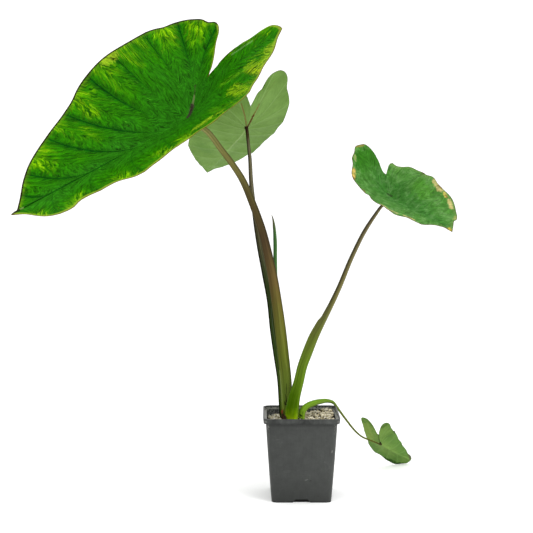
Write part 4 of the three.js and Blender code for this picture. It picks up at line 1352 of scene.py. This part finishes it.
def build_sheath(name, centre, start, end, radius, base, tops, seed):
    """A torn strip of dry sheath, wrinkled, that waves away from the stem at its ragged top."""
    chance = np.random.default_rng(seed)
    sheath = sheet_of_faces(name, SHEATH_ROWS, SHEATH_COLUMNS)
    across = np.linspace(0, 1, SHEATH_COLUMNS + 1)
    rise = np.linspace(0, 1, SHEATH_ROWS + 1)[:, None]
    ragged = chance.normal(size=SHEATH_COLUMNS + 1).cumsum()
    ragged -= np.linspace(ragged[0], ragged[-1], SHEATH_COLUMNS + 1)
    top = np.interp(across, np.linspace(0, 1, len(tops)), tops) + np.clip(0.35 * ragged, -1.6, 1.2)
    z = base + (top - base) * rise
    angle = np.radians(start + (end - start) * across)
    reach = radius + 0.16 * np.sin(across * 31 + rise * 3) + 0.7 * rise ** 4 * np.sin(across * 9)
    set_places(sheath, np.stack(
        [centre[0] + reach * np.cos(angle), centre[1] + reach * np.sin(angle), z], axis=-1))
    apply_modifier(sheath, "SOLIDIFY", thickness=SHEATH_SHEET * MM, offset=0.0)
    smooth(sheath)
    return sheath


def papery_finish(name, light, dark):
    """Brown fibres, rotten and darker near the grit."""
    finish = Finish(name, roughness=0.75, gloss=0.2)
    x, y, z = finish.split(finish.place())
    fibre = finish.noise(finish.join(x * 1.6, y * 1.6, z * 0.12), scale=1.0, detail=5, roughness=0.65)
    tint = finish.mix(finish.between(fibre, 0.35, 0.65), dark, light)
    rotten = finish.mix(finish.between(fibre, 0.45, 0.65), srgb(26, 16, 12), srgb(118, 80, 48))
    low_down = finish.between(z + fibre * 4.0, ROTTEN_BELOW, ROTTEN_BELOW - 2.5)
    return finish.done(finish.mix(low_down, tint, rotten), fibre, depth=0.35)


class ELEPHANTEAR_OT_sheaths(bpy.types.Operator):
    """Build the dry, papery remains of old sheaths at the foot of the stems"""
    bl_idname = "elephantear.sheaths"
    bl_label = "Dry sheaths"

    def execute(self, context):
        for seed, (name, node, *shape, light, dark) in enumerate(SHEATHS):
            sheath = build_sheath(name, *shape, seed)
            finish_piece(sheath, [node], [papery_finish(name, light, dark)])
        return {"FINISHED"}


# Leaf blades. Each ray of faces runs from the left margin over the midrib to the right margin.
HALF_COLUMNS = 28
COLUMNS = np.arange(HALF_COLUMNS, -HALF_COLUMNS - 1, -1)
OUT = np.abs(COLUMNS) / HALF_COLUMNS
ON_LEFT = COLUMNS > 0
VEIN_SLANT = 0.8
VEIN_CURVE = 1.1
RIGHT_HALF = 20.0
CROWDED_INTERVAL = 3
SPAN_PULL = 0.35
LOWEST = 0.6
CONTACT_BEND = 0.5
QUILT_SHARE = 0.16
LARGEST_QUILT = 1.4

# Half the width of a dark main vein at the midrib, in millimetres, and how far apart the noises of two
# neighbouring intervals lie, so that no streak crosses a main vein.
VEIN_REACH = 2.2
INTERVAL_SHIFT = 7.31


def build_blade(name, leaf, settings, faces):
    """A blade whose lines of faces follow its veins, with ribs beneath and quilting between them."""
    rays = ray_table(leaf, settings.face_step / MM)
    u, v, ray_length = ray_places(leaf, rays)
    width = interval_width(np.stack([u, v], axis=-1), rays["interval"])
    places = BladeSurface(leaf).points(u, v, swelling(leaf, settings, rays, width))
    places = span_junction(places, rays)
    places[..., 2] = held_up(places[..., 2])
    blade = sheet_of_faces(name, len(u) - 1, len(COLUMNS) - 1)
    set_places(blade, places)
    off_vein = np.minimum(rays["place"], 1 - rays["place"])[:, None]
    nearest = off_vein * width
    add_attribute(blade, "blade_flat", u, v, ray_length * (1 - OUT))
    add_attribute(blade, "blade_share", OUT, 2 * off_vein, 0)
    add_vein_attribute(blade, ray_length * OUT, nearest, width, rays)
    add_ribs(blade, settings, leaf, u, v, nearest)
    for face in faces:
        blade.data.materials.append(face)
    weld(blade)
    apply_modifier(blade, "SOLIDIFY", thickness=settings.midrib, offset=-1.0,
                   vertex_group="ribs", thickness_vertex_group=0.0, use_even_offset=False,
                   material_offset=1, material_offset_rim=0)
    smooth(blade, math.radians(60))
    return blade


def ray_places(leaf, rays):
    """Flat places u and v of every vertex, and the straight length of its ray."""
    foot, left_bow, right_bow = (rays[item][:, None] for item in ("foot", "left_bow", "right_bow"))
    left = round_margin(leaf["margin_left"], rays["left_share"])[:, None, :]
    right = round_margin(leaf["margin_right"], rays["right_share"])[:, None, :]
    edge = np.where(ON_LEFT[:, None], left, right)
    bow = np.where(ON_LEFT, left_bow, right_bow) * 4 * OUT * (1 - OUT)
    chord_u, chord_v = edge[..., 0] - foot, edge[..., 1]
    ray_length = np.hypot(chord_u, chord_v) + 1e-6
    u = foot + chord_u * OUT + bow * chord_v / ray_length
    v = (chord_v * OUT - bow * chord_u / ray_length) * np.where(ON_LEFT, 1, -1)
    return u, v, ray_length


def swelling(leaf, settings, rays, width):
    """How far each vertex stands off: quilted between the main veins, and ruffled at the margin."""
    size = leaf["length"] / MAIN_LEAF["length"]
    middle = np.sin(math.pi * rays["place"])[:, None]
    wide = np.clip(width / (QUILT_SHARE * leaf["length"]), 0, LARGEST_QUILT)
    quilt = wide * middle * ease(OUT / 0.25) * (1 - 0.55 * ease((OUT - 0.8) / 0.2))
    phase = 21 * np.where(ON_LEFT, rays["left_share"][:, None], rays["right_share"][:, None])
    ruffle = size * OUT ** 4 * (np.sin(phase * 2) + 0.5 * np.sin(phase * 4.7 + 1.3))
    return settings.quilting / MM * quilt + settings.ruffle / MM * ruffle


def held_up(z):
    """Heights of a blade that bends where it meets the surface that the pot stands on."""
    return LOWEST + CONTACT_BEND * np.logaddexp(0, (z - LOWEST) / CONTACT_BEND)


def interval_width(flat, interval):
    """The distance in millimetres between the main veins on either side of each vertex."""
    width = np.zeros(flat.shape[:2])
    for number in np.unique(interval):
        rows = np.flatnonzero(interval == number)
        last = min(rows[-1] + 1, len(interval) - 1)
        steps = np.diff(flat[rows[0]:last + 1], axis=0)
        width[rows] = np.linalg.norm(steps, axis=-1).sum(axis=0)
    width[-1] = width[-2]
    return width


def span_junction(places, rays):
    """Carries the lines of faces past the bent junction in smooth curves, where it crowds the rays."""
    crowded = np.flatnonzero(rays["interval"] == CROWDED_INTERVAL)
    first, last = crowded[0], crowded[-1] + 1
    start, end = places[first], places[last]
    chord = np.linalg.norm(end - start, axis=-1, keepdims=True)
    leave, arrive = start - places[first - 1], places[last + 1] - end
    leave, arrive = (SPAN_PULL * chord * way / (np.linalg.norm(way, axis=-1, keepdims=True) + 1e-6)
                     for way in (leave, arrive))
    t = np.append(rays["place"][first:last], 1.0)[:, None, None]
    curve = ((2 * t ** 3 - 3 * t ** 2 + 1) * start + (t ** 3 - 2 * t ** 2 + t) * leave
             + (3 * t ** 2 - 2 * t ** 3) * end + (t ** 3 - t ** 2) * arrive)
    weight = ease((OUT - 0.3) / 0.5)[None, :, None]
    places[first:last + 1] += weight * (curve - places[first:last + 1])
    return places


def add_vein_attribute(blade, along, nearest, width, rays):
    """Secondary-vein coordinates: where a line leaves its main vein, distance from it, and interval."""
    slanted = along - nearest * (VEIN_SLANT + VEIN_CURVE * nearest / (width + 1))
    far_side = 0.35 * ease((rays["place"] - 0.3) / 0.4)
    interval = (rays["interval"] + far_side)[:, None] + np.where(ON_LEFT, 0.0, RIGHT_HALF)
    add_attribute(blade, "blade_vein", slanted, nearest, interval)


def add_ribs(blade, settings, leaf, u, v, nearest):
    """A vertex group that thickens the blade at its midrib and main veins."""
    thin = settings.thickness / settings.midrib
    size = leaf["length"] / MAIN_LEAF["length"]
    vein_top = (settings.vein / settings.midrib - thin) * (1 - 0.85 * OUT)
    veins = vein_top * np.exp(-(nearest / (0.9 * size + 0.3)) ** 2)
    fade = np.clip(1 - 0.75 * np.clip(u, 0, None) / leaf["length"], 0, 1) * ease(1 + u / 12)
    midrib = (1 - thin) * fade * np.exp(-(v / (1.9 * size + 0.5)) ** 2)
    past_sinus = u > leaf["margin_left"][0][0]
    weights = np.clip(thin + np.maximum(veins, midrib * past_sinus), 0, 1) * size ** 0.35
    group = blade.vertex_groups.new(name="ribs")
    for index, weight in enumerate(weights.ravel()):
        group.add([index], float(weight), "REPLACE")


class Strokes:
    """Noises drawn out along a blade's secondary veins, from bold to as fine as a hair."""

    def __init__(self, finish, flat):
        self.finish = finish
        self.slanted, self.off_vein, self.interval = finish.attribute("blade_vein")
        wander = (finish.noise(flat, scale=0.05, detail=3) - 0.5) * 16.0
        tremble = (finish.noise(flat, scale=0.2) - 0.5) * 6.0
        self.line = self.slanted + (wander + tremble)
        self.bold = self.drawn(0.22, 0.1, 31.0)
        self.medium = self.drawn(0.36, 0.12, 83.0)
        self.fine = self.drawn(0.62, 0.17, 0.0)
        self.hair = self.drawn(1.4, 0.34, 57.0, detail=2.0)
        self.brush = self.fine * 0.25 + (self.medium * 0.4 + self.bold * 0.35)

    def drawn(self, across, along, shift, detail=3.0):
        spot = self.finish.join(
            self.line * across + shift, self.off_vein * along, self.interval * INTERVAL_SHIFT)
        return self.finish.noise(spot, scale=1.0, detail=detail, roughness=0.55)


def marbled(finish, tones, flat, out, middle, broad, strokes):
    """Green that breaks up into yellow between the main veins, more so towards the margin."""
    u, v, _ = finish.split(flat)
    patch = finish.noise(finish.join(u, v, 3.0), scale=0.022, detail=3)
    outward = out + (patch - 0.5) * 0.9
    base = finish.mix(finish.between(outward, 0.2, 0.7), tones["deep"], tones["green"])
    open_part = middle + (strokes.bold - 0.5) * 1.7
    glow = finish.between(outward, 0.6, 1.08) * finish.between(open_part, 0.1, 0.75)
    glow = glow * finish.between(broad + strokes.bold * 0.6, 0.55, 0.95)
    glow = glow * finish.between(strokes.brush, 0.4, 0.56)
    tint = finish.mix(glow * tones["marbling"], base, tones["yellow"])
    highlight = finish.between(strokes.bold + strokes.fine * 0.7, 0.92, 1.15) * glow
    return finish.mix(highlight * tones["marbling"], tint, tones["bright"])


def veined(finish, tint, tones, flat, out, near_half, strokes):
    """Dark main veins with feathered sides, and a dark midrib towards the tip."""
    u, v, _ = finish.split(flat)
    strength = finish.between(finish.distance(flat), 40.0, 100.0) * tones["veins"]
    strength = strength * (1.0 - near_half * 0.7)
    feather = strokes.off_vein - (strokes.bold + strokes.fine - 1.0) * 20.0
    shade = finish.between(feather, 6.0, 0.5) * finish.between(out, 0.15, 0.5)
    tint = finish.mix(shade * 0.7 * strength, tint, tones["vein"])
    ragged = strokes.off_vein - (strokes.fine - 0.5) * 3.0
    core = finish.between(ragged / (VEIN_REACH - out), 1.0, 0.1)
    tint = finish.mix(core * strength, tint, tones["vein"])
    rib = finish.between(abs(v), 1.3, 0.4) * finish.between(u, 90.0, 130.0)
    return finish.mix(rib * 0.8 * tones["veins"], tint, tones["vein"])


def edged(finish, tint, tones, from_edge, near_half, broad, strokes):
    """A pale band along the margin, strong on the near half, and a thin dark edge."""
    band_reach = from_edge + (broad - 0.5) * 5.0
    band = finish.between(band_reach, 5.0, 2.0) * (0.12 + near_half * 0.6)
    tint = finish.mix(band * tones["marbling"], tint, tones["tan"])
    thick = (from_edge + (strokes.fine - 0.5)) / (1.0 - near_half * 0.45)
    rim = finish.math("LESS_THAN", thick, tones["rim"])
    return finish.mix(rim * 0.9, tint, finish.mix(near_half, tones["edge"], tones["edge_near"]))


def marbled_top(name, tones, marks, streaks=()):
    """The upper face: marbled green, dark feathered main veins, fine secondary veins and a thin edge."""
    finish = Finish(name, roughness=0.45, gloss=tones["gloss"])
    u, v, from_edge = finish.attribute("blade_flat")
    out, middle, _ = finish.attribute("blade_share")
    flat = finish.join(u, v)
    near_half = finish.between(v, -0.5, 0.5)
    strokes = Strokes(finish, flat)
    broad = finish.noise(flat, scale=0.045, detail=3)
    tint = marbled(finish, tones, flat, out, middle, broad, strokes)
    tint = veined(finish, tint, tones, flat, out, near_half, strokes)
    fleck = finish.between(strokes.hair, 0.62, 0.72) * finish.between(strokes.bold, 0.48, 0.6)
    fleck = fleck * finish.between(out, 0.1, 0.4)
    tint = finish.mix(fleck * (0.5 * tones["marbling"]), tint, tones["fleck"])
    # Painted sheen: pale patches where the mottle is high, in the fleck colour.
    mottle = finish.noise(flat, scale=0.11, detail=5, roughness=0.6)
    tint = finish.mix(finish.between(mottle, 0.42, 0.7) * tones["bloom"], tint, tones["fleck"])
    tint = add_marks(finish, tint, flat, streaks, finish.between(strokes.brush, 0.42, 0.54))
    tint = add_marks(finish, tint, flat, marks)
    lit = strokes.fine * 1.1 + strokes.medium * 1.9 + mottle * 0.8 - 1.9
    tint = finish.scaled(tint, 1.0 + lit * tones["contrast"])
    tint = edged(finish, tint, tones, from_edge, near_half, broad, strokes)
    ridges = finish.math("SINE", strokes.slanted * 1.9 + strokes.fine * 3.0)
    return finish.done(tint, ridges * 0.18 + strokes.fine, depth=0.3)


def pale_back(name, tones, marks):
    """The underside: pale green with folds that run out from the junction, and slightly paler veins."""
    finish = Finish(name, roughness=0.6, gloss=0.04)
    slanted, off_vein, interval = finish.attribute("blade_vein")
    u, v, from_edge = finish.attribute("blade_flat")
    out, _, _ = finish.attribute("blade_share")
    flat = finish.join(u, v)
    fibres = finish.join(slanted * 0.5, off_vein * 0.12, interval * INTERVAL_SHIFT)
    fine = finish.noise(fibres, scale=1.0, detail=4)
    patch = finish.noise(finish.join(u, v, 5.0), scale=0.035, detail=3)
    around = finish.math("ARCTAN2", v, u)
    spread = finish.join(around * 7.0, finish.distance(flat) * 0.02)
    folds = finish.noise(spread, scale=1.0, detail=3, roughness=0.6)
    darker = finish.between(patch + out * 0.25, 0.4, 0.85)
    tint = finish.mix(darker, tones["back"], tones["back_dark"])
    tint = finish.scaled(tint, 0.53 + (fine * 0.5 + folds * 0.45))
    tint = finish.mix(finish.between(off_vein, 1.1, 0.25) * 0.4, tint, tones["back_vein"])
    tint = add_marks(finish, tint, flat, marks)
    tint = finish.mix(finish.between(from_edge, 0.9, 0.2) * 0.5, tint, tones["edge"])
    return finish.done(tint, fine * 0.5 + folds * 2.0, depth=0.25)


def leaf_tones(**changes):
    tones = {
        "deep": srgb(38, 110, 12), "green": srgb(36, 110, 0), "yellow": srgb(104, 158, 0),
        "bright": srgb(140, 184, 14), "fleck": srgb(100, 160, 44), "tan": srgb(150, 172, 52),
        "vein": srgb(0, 62, 4), "edge": srgb(34, 14, 12), "edge_near": srgb(96, 72, 30),
        "back": srgb(114, 148, 76), "back_dark": srgb(100, 134, 62), "back_vein": srgb(140, 172, 104),
        "marbling": 0.95, "veins": 0.9, "bloom": 0.0, "rim": 1.4, "gloss": 0.015, "contrast": 1.45,
    }
    tones.update(changes)
    return tones


PURPLE = (62, 40, 48)
MAROON = (60, 22, 14)
BLACKISH = (26, 14, 14)
TAN = (204, 186, 122)
BROWN = (112, 78, 38)

MAIN_STREAKS = [
    ((-58, 68), (-50, 91), 11, (146, 170, 22), 0.85), ((-78, 88), (-60, 92), 9, (134, 168, 30), 0.8),
    ((-26, 58), (-12, 88), 13, (132, 170, 18), 0.85), ((30, 82), (58, 72), 11, (134, 170, 24), 0.85),
    ((84, 86), (112, 80), 9, (128, 166, 28), 0.75), ((30, -103), (67, -98), 8, (146, 174, 34), 0.7),
    ((-40, 30), (-62, 76), 6, (88, 146, 16), 0.6), ((8, 46), (22, 70), 7, (86, 146, 14), 0.55)]
MAIN_MARKS = [
    ((-50, 94), (-46, 94), 3, (170, 130, 40), 0.7),
    ((-77, 32), (-91, 58), 1.6, (116, 164, 92), 0.45), ((-104, 96), (-100, 98), 5, (84, 62, 40), 0.9),
    ((0, 0), (-36, -11.6), 1.3, (64, 62, 40), 0.5), ((0, 0), (-35.5, 20.3), 1, (24, 62, 20), 0.5),
    ((9, 5), (-10, -3), 4, PURPLE, 0.8), ((249, 0), (257, 0), 3, BLACKISH, 0.9)]
BACK_MARKS = [
    ((86, 21), (80, 30), 14, (88, 126, 58), 0.45), ((0, 0), (66, 0), 1.2, (150, 176, 112), 0.5),
    ((-19, -4.5), (-33, -11), 1.2, (112, 94, 44), 0.75), ((-33, -11), (-58, -32), 1, (100, 124, 60), 0.6),
    ((0, 0), (-19, -4.5), 1.6, (84, 40, 20), 0.9), ((0, 0), (-36, 11.3), 1.2, (112, 84, 42), 0.75),
    ((1, 0), (-2, 0), 3, MAROON, 0.95)]
RIGHT_MARKS = [
    ((38.6, 44), (51, 38), 4.6, TAN, 0.85), ((58, 38), (64, 34.5), 2.4, (206, 184, 90), 0.85),
    ((70, 33), (82, 26.5), 3, TAN, 0.8), ((46, 41), (52, 40), 1.5, BROWN, 0.8),
    ((62, 36), (66, 35), 1.4, BROWN, 0.8), ((99, 17), (96, 20), 2.6, (186, 182, 106), 0.6),
    ((109, 1), (113, 0.5), 2.6, (192, 170, 66), 0.8), ((2.5, 1), (-2.5, -1), 2.6, (44, 54, 32), 0.75),
    ((-46, -24), (-38, -36), 17, (40, 104, 12), 0.85), ((-46, -18), (-24, -30), 12, (54, 112, 32), 0.7),
    ((24, 30), (40, 24), 13, (76, 138, 40), 0.5),
    ((-22, -47.5), (-14, -49), 4, (200, 172, 90), 0.9), ((-12.7, -48.4), (-12, -47), 2, BROWN, 0.8),
    ((-35, -44), (-40, -45), 2.6, (164, 178, 108), 0.6), ((-57, -36), (-54, -43), 2.6, (150, 132, 62), 0.7),
    ((2, -42), (4, -42), 1.8, BROWN, 0.7), ((40, -44), (62, -36), 1.8, (176, 168, 112), 0.7),
    ((66, -30), (80, -25), 1.8, TAN, 0.7), ((56, -40), (58, -39), 1.2, BROWN, 0.8),
    ((72, -28), (74, -27), 1.2, BROWN, 0.8)]
# The second mark is painted shade: dark green where the blade curls down onto the floor.
DROOPING_LEAF_MARKS_AND_SHADE = [
    ((-14, 20), (-8, 17), 13, (146, 168, 82), 0.55), ((33, 20), (62, 12), 4, (30, 66, 16), 0.85),
    ((62, -5), (65, -3), 4, (84, 80, 60), 0.8), ((-14, 0.6), (0, 0), 1, (52, 84, 30), 0.6),
    ((-24, -2), (-29, -6), 3, (66, 92, 38), 0.6), ((1, 0), (-1, 0), 1.9, BLACKISH, 0.95)]


class ELEPHANTEAR_OT_blades(bpy.types.Operator):
    """Build the four leaf blades"""
    bl_idname = "elephantear.blades"
    bl_label = "Leaf blades"

    def execute(self, context):
        settings = context.scene.elephantear_blade
        rows = [
            ("main_leaf_blade", MAIN_LEAF, "leaf_marbled", "leaf_1_blade", leaf_tones(), MAIN_MARKS,
             MAIN_STREAKS),
            ("back_leaf_blade", BACK_LEAF, "leaf_back", "leaf_2_blade", leaf_tones(
                marbling=0.5, veins=0.5, edge=srgb(70, 50, 40)), BACK_MARKS),
            ("right_leaf_blade", RIGHT_LEAF, "leaf_mid", "leaf_3_blade", leaf_tones(
                deep=srgb(58, 116, 42), green=srgb(70, 124, 48), yellow=srgb(100, 146, 66),
                bright=srgb(120, 156, 90), fleck=srgb(124, 156, 104), vein=srgb(44, 100, 36),
                tan=srgb(120, 140, 80), edge=srgb(92, 78, 44), edge_near=srgb(84, 64, 40),
                # The sheen share below paints pale patches of sheen in this leaf's fleck colour.
                marbling=0.4, veins=0.15, bloom=0.3, rim=0.8, contrast=0.9), RIGHT_MARKS),
            ("drooping_leaf_blade", DROOPING_LEAF, "leaf_small", "leaf_4_blade", leaf_tones(
                back=srgb(114, 146, 70), back_dark=srgb(92, 128, 58), back_vein=srgb(118, 156, 82),
                edge=srgb(54, 70, 34), marbling=0.5, veins=0.4), DROOPING_LEAF_MARKS_AND_SHADE),
        ]
        for name, leaf, slot, node, tones, marks, *streaks in rows:
            faces = [marbled_top(name + "_top", tones, marks, *streaks),
                     pale_back(name + "_back", tones, marks)]
            finish_piece(build_blade(name, leaf, settings, faces), [node])
        return {"FINISHED"}


class ELEPHANTEAR_PT_panel(bpy.types.Panel):
    """The pieces of the potted plant, in the order in which they are built"""
    bl_idname = "ELEPHANTEAR_PT_panel"
    bl_label = "Elephant Ear"
    bl_space_type = "VIEW_3D"
    bl_region_type = "UI"
    bl_category = "Elephant Ear"

    def draw(self, context):
        for operator in OPERATORS:
            self.layout.operator(operator.bl_idname)
        for name, group in SETTINGS.items():
            box = self.layout.box()
            box.label(text=name.split("_")[1].title())
            for item in group.__annotations__:
                box.prop(getattr(context.scene, name), item)


OPERATORS = [
    ELEPHANTEAR_OT_stage, ELEPHANTEAR_OT_pot, ELEPHANTEAR_OT_fill, ELEPHANTEAR_OT_leaf_stems,
    ELEPHANTEAR_OT_new_leaf, ELEPHANTEAR_OT_sheaths, ELEPHANTEAR_OT_blades,
]
SETTINGS = {
    "elephantear_pot": PotSettings, "elephantear_grit": GritSettings, "elephantear_stem": StemSettings,
    "elephantear_blade": BladeSettings, "elephantear_stage": StageSettings,
}


def register():
    for item in (*SETTINGS.values(), *OPERATORS, ELEPHANTEAR_PT_panel):
        bpy.utils.register_class(item)
    for name, group in SETTINGS.items():
        setattr(bpy.types.Scene, name, PointerProperty(type=group))


def unregister():
    for name in SETTINGS:
        delattr(bpy.types.Scene, name)
    for item in (ELEPHANTEAR_PT_panel, *reversed(OPERATORS), *reversed(SETTINGS.values())):
        bpy.utils.unregister_class(item)


def main():
    register()
    bpy.ops.elephantear.stage()
    bpy.ops.elephantear.pot()
    bpy.ops.elephantear.fill()
    bpy.ops.elephantear.leaf_stems()
    bpy.ops.elephantear.new_leaf()
    bpy.ops.elephantear.sheaths()
    bpy.ops.elephantear.blades()


if __name__ == "__main__":
    main()
